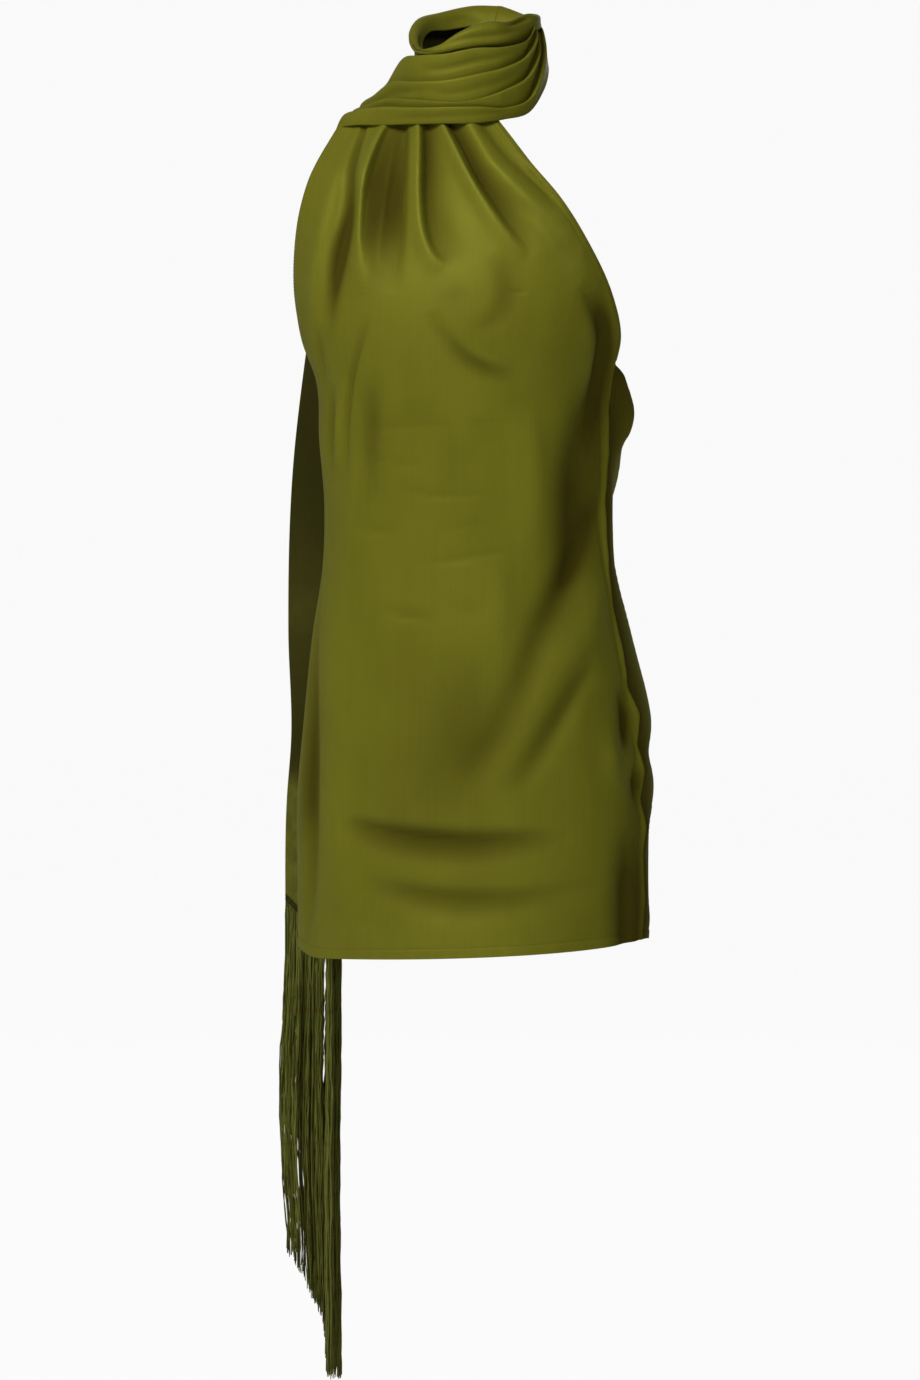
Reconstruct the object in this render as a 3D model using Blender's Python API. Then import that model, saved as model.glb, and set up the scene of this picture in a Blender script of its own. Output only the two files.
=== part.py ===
"""Fringed mini dress: a pleated halter dress with a wound neck scarf and a fringed hanging end.

The front faces -Y, +X is the wearer's left and +Z is up. The origin is the centre of the neck,
where the wearer holds the dress. Tables and sizes are in millimetres and degrees, and the
meshes are in metres. Each piece is a thin wall: a grid of points on its outer face, a second
grid set in by the cloth's thickness, and a rim that joins the two.
"""
import bpy
import numpy as np

MM = 0.001

# ---------------------------------------------------------------- driving sizes
CLOTH = 1.6
SEAM_GAP = 0.3
SEAM_LIP = 1.2
SEAM_LIP_WIDTH = 5.0

HEM_HEIGHT = -856.0
HEM_RISE = 16.0
SEAM_TOP = -293.0
SEAM_TOP_RISE = 8.0
NECK_ROW = -62.0

FRONT_COLUMNS = 37
FRONT_LOW_ROWS = 17
FRONT_HIGH_ROWS = 12
BACK_COLUMNS = 25

COWL_DEPTH = 150.0
COWL_SLACK = 7.0
COWL_SWELL = 26.0
COWL_SWELL_WIDTH = 32.0
COWL_POUCH = 16.0
POUCH_PLACE = 0.14
POUCH_WIDTH = 0.09

TURN_COLUMNS = 34
BAND_ROWS = 4
FULL_BAND = 0.22

TAIL_ROWS = 12
TAIL_SPLIT = 2
TAIL_END = -814.0
TAIL_END_SLANT = 44.0
TAIL_OUTER = -228.0
TAIL_SPAN = 44.0

STRIP_HEIGHT = 6.0
STRANDS = 80
STRAND_ROWS = 3
STRAND_TAPER = 0.35
FRINGE_SWAY = 10.0
FRINGE_TIP = -1160.0
FRINGE_TIP_SLANT = 130.0

# ---------------------------------------------------------------- section tables
# Front sections: height, right edge x, y, left edge x, y, middle y, turn from middle to edge
FRONT_SECTIONS = (
    (-870, -184, -4, 178, -4, -125, 90),
    (-791, -186, -1, 178, -1, -123, 90),
    (-712, -187, 0, 177, 0, -121, 90),
    (-633, -179, 0, 171, 0, -121, 90),
    (-555, -167, -8, 156, -8, -120, 90),
    (-476, -153, -12, 144.5, -12, -115, 90),
    (-417, -151, -14, 144, -14, -115, 90),
    (-358, -156, -14, 146, -14, -119, 90),
    (-301, -158, -14, 150, -14, -126, 90),
    (-261, -171, -32, 165, -28, -128, 84),
    (-222, -173, -48, 163, -44, -124, 80),
    (-173, -167, -62, 146, -62, -112, 76),
    (-130, -158, -66, 121, -72, -99, 72),
    (-95, -147, -62, 90, -74, -88, 70),
    (-60, -132, -48, 58, -66, -79, 70),
)

# Back sections: height, middle y
BACK_SECTIONS = (
    (-870, 120),
    (-791, 124),
    (-712, 128),
    (-633, 125),
    (-555, 113),
    (-476, 99),
    (-417, 93),
    (-358, 98),
    (-285, 104),
)

# Scarf, first turn: angle from the front towards the wearer's left, upper rim, roll, roll's foot
INNER_TURN = (
    (-180, 70, 5, 40),
    (-155, 71, 5, 40),
    (-115, 62, 5, 38),
    (-90, 55, 6, 34),
    (-60, 36, 6, 24),
    (-35, 21, 7, 13),
    (-12, 20, 7, 10),
    (10, 32, 9, 13),
    (30, 41, 9, 16),
    (50, 44, 9, 18),
    (72, 51, 7, 25),
    (100, 53, 6, 38),
    (136, 55, 5, 40),
    (180, 70, 5, 40),
)
INNER_TURN_RADIUS = 60.0
INNER_TURN_FOOT = -30.0

# Scarf, second turn: station, lower edge x, y, z, upper edge x, y, z, fold depth
OUTER_TURN = (
    (-150, -160, 22, -90, -134, 56, -66, 4),
    (-125, -151, -9, -66, -124, 32, -38, 7),
    (-100, -132, -38, -55, -106, 4, -26, 9),
    (-75, -106, -53, -53, -80, -18, -15, 9),
    (-50, -72, -64, -55, -53, -40, 8, 8),
    (-25, -36, -72, -56, -28, -58, 10, 7),
    (0, 0, -76, -57, 0, -65, 10, 7),
    (25, 32, -68, -57, 27, -59, 15, 7),
    (46, 54, -52, -53, 47, -46, 16, 7),
    (65, 70, -33, -46, 59, -28, 22, 6),
    (85, 74, -6, -22, 64, -6, 33, 5),
    (105, 68, 18, 0, 61, 16, 38, 4),
    (135, 47, 47, 14, 45, 45, 37, 2),
    (165, 17, 63, 18, 16.5, 62, 37, 0),
)
# Where its three fold lines lie, as a share of the width, at the same stations
FOLD_LINES = (
    (-150, 0.27, 0.50, 0.74),
    (-75, 0.25, 0.42, 0.66),
    (-25, 0.22, 0.35, 0.60),
    (25, 0.21, 0.31, 0.63),
    (65, 0.14, 0.48, 0.77),
    (105, 0.25, 0.48, 0.70),
    (165, 0.27, 0.50, 0.74),
)
FRONT_NECK_STATIONS = (-98.0, 41.0)

# Scarf's hanging end: height, x and y of its outer edge
TAIL_EDGE = (
    (-870, -228, 34),
    (-718, -226, 34),
    (-657, -221, 34),
    (-547, -224, 34),
    (-374, -217, 33),
    (-285, -205, 32),
    (-200, -190, 30),
    (-130, -174, 27),
    (-80, -158, 22),
)
# Its lengthwise folds: x and y from the outer edge
TAIL_FOLDS = (
    (0, 0),
    (18, 4),
    (36, 9),
    (43, 13),
    (43, 19),
    (36, 23),
    (23, 27),
    (13, 31),
    (10, 37),
    (14, 43),
    (24, 46),
    (32, 49),
    (35, 55),
    (31, 61),
    (20, 66),
    (9, 69),
)
TAIL_GATHER = 170.0

# ---------------------------------------------------------------- folds
# Each fold is a line of rows: distance from the panel's middle, height, width on its left and
# on its right where the line runs down the panel (below and above it where it runs to the
# right), and lift
NECK_PLEATS = (
    ((-62, -62, 12, 6, 2), (-74, -90, 14, 7, 6), (-78, -130, 17, 8, 7), (-74, -177, 18, 9, 5),
     (-66, -240, 18, 14, 0)),
    ((-22, -62, 10, 4, 3), (-15, -110, 13, 5, 7), (-7, -160, 13, 6, 5), (16, -205, 14, 8, 0)),
    ((4, -62, 9, 5, 3), (23, -89, 12, 7, 6), (44, -119, 14, 8, 6), (68, -155, 15, 9, 4),
     (90, -186, 16, 12, 0)),
    ((28, -62, 8, 9, 3), (42, -81, 9, 14, 6), (79, -121, 12, 20, 6), (111, -148, 14, 20, 4),
     (150, -190, 14, 18, 0)),
)
SIDE_PLEATS = (
    ((-108, -70, 9, 9, 0), (-101, -110, 10, 10, -4), (-101, -160, 12, 12, -4),
     (-112, -230, 14, 14, 0)),
    ((92, -140, 10, 10, 0), (118, -168, 11, 11, 3), (146, -196, 12, 12, 0)),
)
BUST_DRAPE = (
    ((-2, -236, 12, 10, 0), (16, -260, 12, 10, -4), (55, -289, 13, 11, -6),
     (98, -289, 13, 11, -4), (130, -262, 12, 10, 0)),
    ((4, -222, 12, 12, 0), (28, -250, 12, 12, 3), (62, -266, 12, 12, 4), (110, -256, 12, 12, 0)),
    ((-66, -255, 10, 8, 0), (-82, -316, 12, 9, -4), (-106, -385, 14, 10, 0)),
)
HIP_DRAPE = (
    ((190, -410, 15, 13, 0), (160, -447, 15, 13, -5), (128, -495, 15, 13, -7),
     (101, -560, 16, 14, -5), (74, -611, 16, 14, -3), (31, -650, 16, 14, 0)),
    ((198, -462, 14, 14, 0), (168, -506, 14, 16, 5), (140, -556, 15, 16, 5),
     (100, -606, 16, 16, 3), (60, -655, 16, 16, 0)),
    ((168, -570, 11, 11, 0), (152, -592, 11, 11, -4), (116, -655, 12, 12, -3),
     (80, -690, 12, 12, 0)),
)
SKIRT_WAVES = (
    ((-110, -728, 12, 12, 0), (-28, -735, 13, 13, -4), (42, -744, 13, 13, -4),
     (150, -741, 12, 12, 0)),
    ((-120, -768, 14, 14, 0), (0, -767, 15, 15, 4), (100, -766, 15, 15, 3),
     (180, -768, 14, 14, 0)),
    ((-80, -782, 12, 12, 0), (8, -797, 13, 13, -4), (107, -795, 13, 13, -4),
     (180, -786, 12, 12, 0)),
)
FRONT_FOLDS = NECK_PLEATS + SIDE_PLEATS + BUST_DRAPE + HIP_DRAPE + SKIRT_WAVES

COWL_FOLDS = (
    ((-205, -330, 14, 14, 0), (-130, -420, 16, 14, 6), (0, -478, 18, 14, 7),
     (130, -424, 16, 14, 6), (205, -336, 14, 14, 0)),
    ((-212, -386, 13, 12, -3), (-140, -452, 15, 13, -5), (0, -508, 16, 14, -5),
     (140, -456, 15, 13, -5), (212, -390, 13, 12, -3)),
)
SEAT_FOLDS = (
    ((-200, -560, 14, 14, 0), (-120, -600, 16, 14, -5), (-30, -655, 16, 14, 0)),
    ((180, -600, 14, 14, 0), (110, -640, 15, 14, -4), (40, -700, 16, 14, 0)),
    ((-205, -480, 24, 18, 0), (-200, -550, 28, 20, 8), (-202, -640, 28, 22, 6),
     (-205, -700, 26, 20, 0)),
    ((205, -500, 18, 24, 0), (202, -570, 20, 26, 5), (206, -650, 20, 26, 0)),
)
BACK_FOLDS = COWL_FOLDS + SEAT_FOLDS


# ---------------------------------------------------------------- curves
def read_table(rows, at):
    """Smooth curve through the later columns of a table, read at values of its first column."""
    table = np.array(sorted(rows), dtype=float)
    keys = table[:, 0]
    values = table[:, 1:]
    slopes = np.gradient(values, keys, axis=0)
    at = np.clip(np.asarray(at, dtype=float), keys[0], keys[-1])
    low = np.clip(np.searchsorted(keys, at) - 1, 0, len(keys) - 2)
    span = (keys[low + 1] - keys[low])[..., None]
    share = (at - keys[low])[..., None] / span
    start, end = values[low], values[low + 1]
    leave, arrive = slopes[low] * span, slopes[low + 1] * span
    curve = (
        start * (1 + 2 * share) * (1 - share) ** 2
        + end * share ** 2 * (3 - 2 * share)
        + leave * share * (1 - share) ** 2
        - arrive * share ** 2 * (1 - share)
    )
    return np.moveaxis(curve, -1, 0)


def number_rows(rows):
    """Give each row of a path its number as a first column, so that it reads as a table."""
    return [(number, *row) for number, row in enumerate(rows)]


def ease(share):
    share = np.clip(share, 0.0, 1.0)
    return share * share * (3 - 2 * share)


def fold_lift(distance, height, folds, samples=24):
    """Sum of the folds' lifts at each place of a panel."""
    lift = np.zeros(np.shape(distance))
    for fold in folds:
        steps = np.linspace(0, len(fold) - 1, samples)
        path = read_table(number_rows(fold), steps)
        sideways = distance[..., None] - path[0]
        upward = height[..., None] - path[1]
        gap = sideways ** 2 + upward ** 2
        nearest = np.argmin(gap, axis=-1)
        along = np.gradient(path[:2], axis=1)[:, nearest]
        across = np.take_along_axis(sideways, nearest[..., None], -1)[..., 0] * along[1]
        across = across - np.take_along_axis(upward, nearest[..., None], -1)[..., 0] * along[0]
        width = np.where(across > 0, path[2][nearest], path[3][nearest])
        least = np.take_along_axis(gap, nearest[..., None], -1)[..., 0]
        lift += path[4][nearest] * np.exp(-least / width ** 2)
    return lift


# ---------------------------------------------------------------- meshes
def grid_normals(grid, around=False):
    """Unit normals of a grid of points, rows upwards and columns to the right."""
    if around:
        wide = np.concatenate([grid[:, -1:], grid, grid[:, :1]], axis=1)
        across = np.gradient(wide, axis=1)[:, 1:-1]
    else:
        across = np.gradient(grid, axis=1)
    upward = np.gradient(grid, axis=0)
    normals = np.cross(across, upward)
    return normals / np.linalg.norm(normals, axis=-1, keepdims=True)


def wall_mesh(name, outer, inner, around=False):
    """Closed wall between two grids: faces on both sides and a rim round the open edges."""
    rows, columns = outer.shape[:2]
    points = np.concatenate([outer.reshape(-1, 3), inner.reshape(-1, 3)]) * MM
    shift = rows * columns
    faces = []
    last = columns if around else columns - 1
    for row in range(rows - 1):
        for column in range(last):
            beside = (column + 1) % columns
            a = row * columns + column
            b = row * columns + beside
            c = (row + 1) * columns + beside
            d = (row + 1) * columns + column
            if np.linalg.norm(points[a] - points[c]) > np.linalg.norm(points[b] - points[d]):
                a, b, c, d = b, c, d, a
            faces.extend([(a, b, c), (a, c, d)])
            faces.extend([(c + shift, b + shift, a + shift), (d + shift, c + shift, a + shift)])
    for column in range(last):
        beside = (column + 1) % columns
        top = (rows - 1) * columns
        faces.append((beside, column, column + shift, beside + shift))
        faces.append((top + column, top + beside, top + beside + shift, top + column + shift))
    if not around:
        for row in range(rows - 1):
            a = row * columns
            b = (row + 1) * columns
            faces.append((a, b, b + shift, a + shift))
            a = row * columns + columns - 1
            b = (row + 1) * columns + columns - 1
            faces.append((b, a, a + shift, b + shift))
    mesh = bpy.data.meshes.new(name)
    mesh.from_pydata(points.tolist(), [], faces)
    mesh.validate()
    return mesh


def add_piece(name, mesh, material):
    piece = bpy.data.objects.new(name, mesh)
    bpy.context.scene.collection.objects.link(piece)
    mesh.materials.append(material)
    mesh.shade_smooth()
    return piece


def cloth_material(name, colour, roughness):
    material = bpy.data.materials.new(name)
    material.use_nodes = True
    shader = material.node_tree.nodes["Principled BSDF"]
    shader.inputs["Base Color"].default_value = (*colour, 1.0)
    shader.inputs["Roughness"].default_value = roughness
    shader.inputs["Metallic"].default_value = 0.0
    return material


# ---------------------------------------------------------------- body of the dress
def seam_columns(count):
    """Places across a panel from edge to edge, with a close pair at each seam lip."""
    plain = np.linspace(-0.975, 0.975, count - 2)
    return np.concatenate([[-1.0], plain, [1.0]])


def hem_height(across):
    return HEM_HEIGHT + HEM_RISE * across


def seam_top(across):
    return SEAM_TOP + SEAM_TOP_RISE * across


def front_surface(across, height):
    """Smooth face of the front panel, before its folds."""
    right_x, right_y, left_x, left_y, middle_y, turn = read_table(FRONT_SECTIONS, height)
    edge_x = np.where(across < 0, right_x, left_x)
    edge_y = np.where(across < 0, right_y, left_y)
    turn = np.radians(turn)
    angle = np.abs(across) * turn
    x = edge_x * np.sin(angle) / np.sin(turn)
    y = middle_y + (edge_y - middle_y) * (1 - np.cos(angle)) / (1 - np.cos(turn))
    return np.stack([x, y, height], axis=-1)


def back_surface(across, height):
    """Smooth face of the back panel; across runs from the wearer's left to the right."""
    right_x, right_y, left_x, left_y, _, _ = read_table(FRONT_SECTIONS, np.minimum(height, -301))
    middle_y = read_table(BACK_SECTIONS, height)[0]
    edge_x = np.where(across < 0, left_x, right_x)
    edge_y = np.where(across < 0, left_y, right_y)
    angle = np.abs(across) * np.pi / 2
    x = edge_x * np.sin(angle)
    y = middle_y + (edge_y - middle_y) * (1 - np.cos(angle))
    return np.stack([x, y, height], axis=-1)


def along_rows(grid):
    """Distance along each row from its middle column."""
    steps = np.linalg.norm(np.diff(grid, axis=1), axis=-1)
    distance = np.concatenate([np.zeros((len(grid), 1)), np.cumsum(steps, axis=1)], axis=1)
    return distance - distance[:, grid.shape[1] // 2][:, None]


def edge_fade(grid, reach=14.0):
    """0 at a panel's two side edges, 1 a short way in from them."""
    distance = along_rows(grid)
    from_edge = np.minimum(distance - distance[:, :1], distance[:, -1:] - distance)
    return ease(from_edge / reach)


def seam_lip(grid):
    """The side seam's raised edge."""
    distance = along_rows(grid)
    from_edge = np.minimum(distance - distance[:, :1], distance[:, -1:] - distance)
    return SEAM_LIP * (1 - ease(from_edge / SEAM_LIP_WIDTH))


def level_normals(grid, low_rows):
    """Normals with the seam edges' own turned level, so that both panels meet in one plane."""
    normals = grid_normals(grid)
    normals[:low_rows, 0] = (np.sign(grid[low_rows // 2, 0, 0]), 0, 0)
    normals[:low_rows, -1] = (np.sign(grid[low_rows // 2, -1, 0]), 0, 0)
    return normals


def front_panel(material):
    across = seam_columns(FRONT_COLUMNS)
    low = np.linspace(0, 1, FRONT_LOW_ROWS)[:, None]
    high = np.linspace(0, 1, FRONT_HIGH_ROWS + 1)[1:, None]
    low_heights = hem_height(across) * (1 - low) + seam_top(across) * low
    high_heights = seam_top(across) * (1 - high) + NECK_ROW * high
    heights = np.concatenate([low_heights, high_heights])
    across = np.broadcast_to(across, heights.shape)
    base = front_surface(across, heights)
    normals = level_normals(base, FRONT_LOW_ROWS)
    lift = fold_lift(along_rows(base), heights, FRONT_FOLDS) * edge_fade(base)
    outer = base + normals * (lift + seam_lip(base))[..., None]
    outer[-1] = neck_edge(across[-1])
    inner = outer - level_normals(outer, FRONT_LOW_ROWS) * CLOTH
    inner[-1] = outer[-1] - grid_normals(base)[-1] * CLOTH
    add_piece("front_panel", wall_mesh("front_panel", outer, inner), material)


def cowl_edge(across):
    """Height of the back's free upper edge: a soft dip between the two side seams."""
    dip = COWL_DEPTH * (1 - across ** 2) ** 1.5
    return seam_top(-across) - dip


def back_panel(material):
    across = seam_columns(BACK_COLUMNS)
    rows = np.linspace(0, 1, FRONT_LOW_ROWS)[:, None]
    heights = hem_height(-across) * (1 - rows) + cowl_edge(across) * rows
    across = np.broadcast_to(across, heights.shape)
    base = back_surface(across, heights)
    base[..., 1] += SEAM_GAP
    normals = level_normals(base, FRONT_LOW_ROWS)
    below_edge = cowl_edge(across) - heights
    from_seam = 1 - np.abs(across)
    pouch = COWL_POUCH * np.exp(-((from_seam - POUCH_PLACE) / POUCH_WIDTH) ** 2)
    slack = (pouch + COWL_SLACK * ease(from_seam / 0.4)) * np.exp(
        -((below_edge - COWL_SWELL) / COWL_SWELL_WIDTH) ** 2
    )
    lift = fold_lift(along_rows(base), heights, BACK_FOLDS) * edge_fade(base)
    outer = base + normals * (lift + slack + seam_lip(base))[..., None]
    inner = outer - level_normals(outer, FRONT_LOW_ROWS) * CLOTH
    add_piece("back_panel", wall_mesh("back_panel", outer, inner), material)


# ---------------------------------------------------------------- scarf
def turn_edges(stations):
    """Lower edge, upper edge and fold depth of the scarf's second turn."""
    low_x, low_y, low_z, up_x, up_y, up_z, depth = read_table(OUTER_TURN, stations)
    lower = np.stack([low_x, low_y, low_z], axis=-1)
    upper = np.stack([up_x, up_y, up_z], axis=-1)
    return lower, upper, depth


def neck_edge(across):
    """The front panel's gathered neckline, just under the scarf's lower edge."""
    right, left = FRONT_NECK_STATIONS
    lower, _, _ = turn_edges(right + (left - right) * (across + 1) / 2)
    lower[..., 2] -= SEAM_GAP
    return lower


def band_bulge(share):
    """Bulge of one folded band: it swells towards its upper edge and then tucks in."""
    return share * (1 - share) ** 0.45 * 1.9


def outer_turn_grid(columns, band_rows):
    """Outer face of the second turn: four bands, each folded over the foot of the next."""
    stations = np.linspace(OUTER_TURN[0][0], OUTER_TURN[-1][0], columns)
    lower, upper, depth = turn_edges(stations)
    lines = read_table(FOLD_LINES, stations)
    bounds = np.stack([np.zeros(columns), *lines, np.ones(columns)])
    across_way = np.gradient(lower + upper, axis=0)
    outward = np.cross(across_way, upper - lower)
    outward /= np.linalg.norm(outward, axis=-1, keepdims=True)
    rows = []
    for band in range(len(bounds) - 1):
        fullness = np.minimum(1, (bounds[band + 1] - bounds[band]) / FULL_BAND)
        for step in range(band_rows):
            share = step / band_rows
            place = bounds[band] * (1 - share) + bounds[band + 1] * share
            bulge = depth * fullness * band_bulge(share)
            rows.append(lower + (upper - lower) * place[:, None] + outward * bulge[:, None])
    rows.append(upper)
    return np.stack(rows)


def scarf_outer_turn(material):
    outer = outer_turn_grid(TURN_COLUMNS, BAND_ROWS)
    inner = outer - grid_normals(outer) * CLOTH
    add_piece("scarf_outer_turn", wall_mesh("scarf_outer_turn", outer, inner), material)


def scarf_inner_turn(material):
    angles = np.linspace(-180, 180, TURN_COLUMNS + 1)[:-1]
    rim, roll, foot = read_table(INNER_TURN, angles)
    # share of the way from the hidden foot to the roll's foot, and then up to the rim
    profile = (
        (0.0, 0.0, 0.0),
        (0.5, 0.0, 0.0),
        (1.0, 0.0, 0.1),
        (1.0, 0.15, 0.75),
        (1.0, 0.5, 1.0),
        (1.0, 0.85, 0.7),
        (1.0, 1.0, 0.1),
    )
    rows = []
    for hidden, shown, swell in profile:
        height = INNER_TURN_FOOT + (foot - INNER_TURN_FOOT) * hidden + (rim - foot) * shown
        radius = INNER_TURN_RADIUS + roll * swell
        turn = np.radians(angles)
        rows.append(np.stack([radius * np.sin(turn), -radius * np.cos(turn), height], axis=-1))
    outer = np.stack(rows)
    inner = outer - grid_normals(outer, around=True) * CLOTH
    mesh = wall_mesh("scarf_inner_turn", outer, inner, around=True)
    add_piece("scarf_inner_turn", mesh, material)


def tail_section(share, samples=400):
    """Plan of the hanging end's lengthwise folds, evenly spaced from its outer edge inwards."""
    steps = np.linspace(0, len(TAIL_FOLDS) - 1, samples)
    x, y = read_table(number_rows(TAIL_FOLDS), steps)
    length = np.concatenate([[0.0], np.cumsum(np.hypot(np.diff(x), np.diff(y)))])
    place = np.asarray(share) * length[-1]
    return np.stack([np.interp(place, length, x), np.interp(place, length, y)], axis=-1)


def slanted_height(x, start, fall):
    """Height of a straight slanted line across the hanging end, lower towards the body."""
    return start - fall * (x - TAIL_OUTER) / TAIL_SPAN


def tail_point(share, height):
    """A point on the hanging end's outer face where its folds have fully formed."""
    edge_x, edge_y = read_table(TAIL_EDGE, height)
    section = tail_section(share)
    return np.stack([edge_x + section[..., 0], edge_y + section[..., 1], height], axis=-1)


def end_line(shares, drop):
    """Outer and inner points along the slanted end, a given drop below its edge."""
    outer = tail_point(shares, np.full(len(shares), TAIL_END))
    along = np.gradient(outer[:, :2], axis=0)
    along /= np.linalg.norm(along, axis=1, keepdims=True)
    inner = outer.copy()
    inner[:, 0] -= along[:, 1] * CLOTH
    inner[:, 1] += along[:, 0] * CLOTH
    for line in (outer, inner):
        line[:, 2] = slanted_height(line[:, 0], TAIL_END, TAIL_END_SLANT) - drop
    return outer, inner


def split_line(line, parts):
    """The same line of points with each of its stretches cut into equal parts."""
    places = np.arange((len(line) - 1) * parts + 1) / parts
    return np.stack([np.interp(places, np.arange(len(line)), axis) for axis in line.T], axis=-1)


def scarf_tail(material):
    turn = outer_turn_grid(TURN_COLUMNS, BAND_ROWS)
    turn_inner = turn - grid_normals(turn) * CLOTH
    onward = (turn[:, 0] - turn[:, 1]).mean(axis=0)
    onward *= SEAM_GAP / np.linalg.norm(onward)
    top = split_line(turn[::-1, 0] + onward, TAIL_SPLIT)
    top_inner = split_line(turn_inner[::-1, 0] + onward, TAIL_SPLIT)
    shares = np.linspace(1, 0, len(top))
    end, end_inner = end_line(shares, 0.0)
    rows = []
    for step in np.linspace(0, 1, TAIL_ROWS):
        heights = end[:, 2] * (1 - step) + top[:, 2] * step
        hanging = tail_point(shares, heights)
        formed = ease((top[:, 2] - heights) / TAIL_GATHER)[:, None]
        rows.append(top * (1 - formed) + hanging * formed)
    outer = np.stack(rows)
    outer[0] = end
    inner = outer - grid_normals(outer) * CLOTH
    inner[0] = end_inner
    inner[-1] = top_inner
    add_piece("scarf_tail", wall_mesh("scarf_tail", outer, inner), material)


def tail_fringe(material):
    """Backing strip along the scarf's end, with every second cell drawn down into a strand."""
    cells = 2 * STRANDS + 1
    shares = np.linspace(1, 0, cells + 1)
    top, top_inner = end_line(shares, SEAM_GAP)
    foot, foot_inner = end_line(shares, SEAM_GAP + STRIP_HEIGHT)
    mesh = wall_mesh("tail_fringe", np.stack([foot, top]), np.stack([foot_inner, top_inner]))
    draw_strands(mesh, cells)
    add_piece("tail_fringe", mesh, material)


def fringe_sway(x, share):
    """How far a strand swings away from the body, most on the outer side above the tips."""
    outward = np.clip(1 - (x - TAIL_OUTER) / TAIL_SPAN, 0, 1)
    return FRINGE_SWAY * outward * np.sin(np.pi * share ** 1.3) ** 2


def draw_strands(mesh, cells):
    """Draw every second cell of the strip's foot down to the fringe's slanted line of tips."""
    points = [tuple(vertex.co) for vertex in mesh.vertices]
    faces = [tuple(face.vertices) for face in mesh.polygons]
    inner = 2 * (cells + 1)
    rings = [(cell, cell + 1, cell + 1 + inner, cell + inner) for cell in range(1, cells, 2)]
    opened = {frozenset(ring) for ring in rings}
    faces = [face for face in faces if frozenset(face) not in opened]
    for ring in rings:
        root = np.array([points[index] for index in ring])
        middle = root.mean(axis=0)
        tip = slanted_height(middle[0] / MM, FRINGE_TIP, FRINGE_TIP_SLANT) * MM
        for row in range(1, STRAND_ROWS + 1):
            share = row / STRAND_ROWS
            section = middle + (root - middle) * (1 - STRAND_TAPER * share)
            section[:, 2] = root[:, 2] * (1 - share) + tip * share
            section[:, 0] -= fringe_sway(middle[0] / MM, share) * MM
            below = tuple(range(len(points), len(points) + 4))
            points.extend(map(tuple, section))
            for side in range(4):
                after = (side + 1) % 4
                faces.append((ring[after], ring[side], below[side], below[after]))
            ring = below
        faces.append(ring[::-1])
    mesh.clear_geometry()
    mesh.from_pydata(points, [], faces)
    mesh.validate()


def main():
    for existing in list(bpy.data.objects):
        bpy.data.objects.remove(existing)
    satin = cloth_material("olive satin", (0.135, 0.135, 0.018), 0.42)
    threads = cloth_material("olive threads", (0.085, 0.098, 0.02), 0.6)
    front_panel(satin)
    back_panel(satin)
    scarf_inner_turn(satin)
    scarf_outer_turn(satin)
    scarf_tail(satin)
    tail_fringe(threads)


if __name__ == "__main__":
    main()
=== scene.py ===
"""Looks of the fringed mini dress: satin panels with their folds, a wound scarf and its fringe.

The front faces -Y, +X is the wearer's left and +Z is up. Tables and sizes are in millimetres and
degrees, as a pattern maker would note them, and meshes are in metres.
"""

import bpy
import numpy as np
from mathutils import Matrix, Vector


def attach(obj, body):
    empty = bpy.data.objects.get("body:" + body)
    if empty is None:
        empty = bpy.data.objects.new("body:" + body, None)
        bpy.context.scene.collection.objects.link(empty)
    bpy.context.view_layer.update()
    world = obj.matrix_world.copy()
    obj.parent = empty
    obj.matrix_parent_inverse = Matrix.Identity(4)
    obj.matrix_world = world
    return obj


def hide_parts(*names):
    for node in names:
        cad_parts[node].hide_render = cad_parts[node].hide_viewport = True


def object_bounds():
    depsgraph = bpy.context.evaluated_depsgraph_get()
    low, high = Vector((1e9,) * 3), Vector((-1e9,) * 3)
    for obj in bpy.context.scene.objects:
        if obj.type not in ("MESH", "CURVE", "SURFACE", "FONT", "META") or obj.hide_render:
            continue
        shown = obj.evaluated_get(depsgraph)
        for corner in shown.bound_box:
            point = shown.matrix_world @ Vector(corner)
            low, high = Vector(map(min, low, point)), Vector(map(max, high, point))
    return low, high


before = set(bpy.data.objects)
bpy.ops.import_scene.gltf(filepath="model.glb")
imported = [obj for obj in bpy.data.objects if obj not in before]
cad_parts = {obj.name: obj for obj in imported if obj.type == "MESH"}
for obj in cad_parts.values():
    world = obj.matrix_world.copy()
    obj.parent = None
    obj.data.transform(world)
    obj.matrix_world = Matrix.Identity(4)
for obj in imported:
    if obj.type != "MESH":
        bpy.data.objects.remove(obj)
cad_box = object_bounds()

MM = 0.001

# ---- driving sizes
SATIN = 1.0
HEM_TURN = 9.0
HEM_SWELL = 0.6
HEM_PULL = 0.35
HEM_HEIGHT = -856.0
HEM_RISE = 16.0
HEM_CORNER = 11.0
HEM_CORNER_START = 0.45
HEM_CORNER_SPAN = 0.35
SEAM_TOP = -293.0
SEAM_TOP_RISE = 8.0
BACK_SIDE_TOP = -301.0
NECK_ROW = -62.0
NECK_TUCK = 42.0
NECK_SINK = 6.0
NECK_SINK_SIDE = 30.0
NECK_OVERLAP = 7.0
NECK_STATIONS = (-98.0, 41.0)
PLEAT_LEAN = 0.38
SEAM_GAP = 0.3
SEAM_LIP = 2.2
SEAM_LIP_FOOT = 2.4
SEAM_LIP_TOP = 3.0
SEAM_LIP_WIDTH = 7.0
SEAM_DITCH = 0.9
SEAM_DITCH_PLACE = 8.5
SEAM_DITCH_WIDTH = 1.8
SEAM_SHADE = 13.0
SEAM_SHADE_WIDTH = 45.0
EDGE_FADE = 12.0
FOLD_REACH = 2.6

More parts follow.
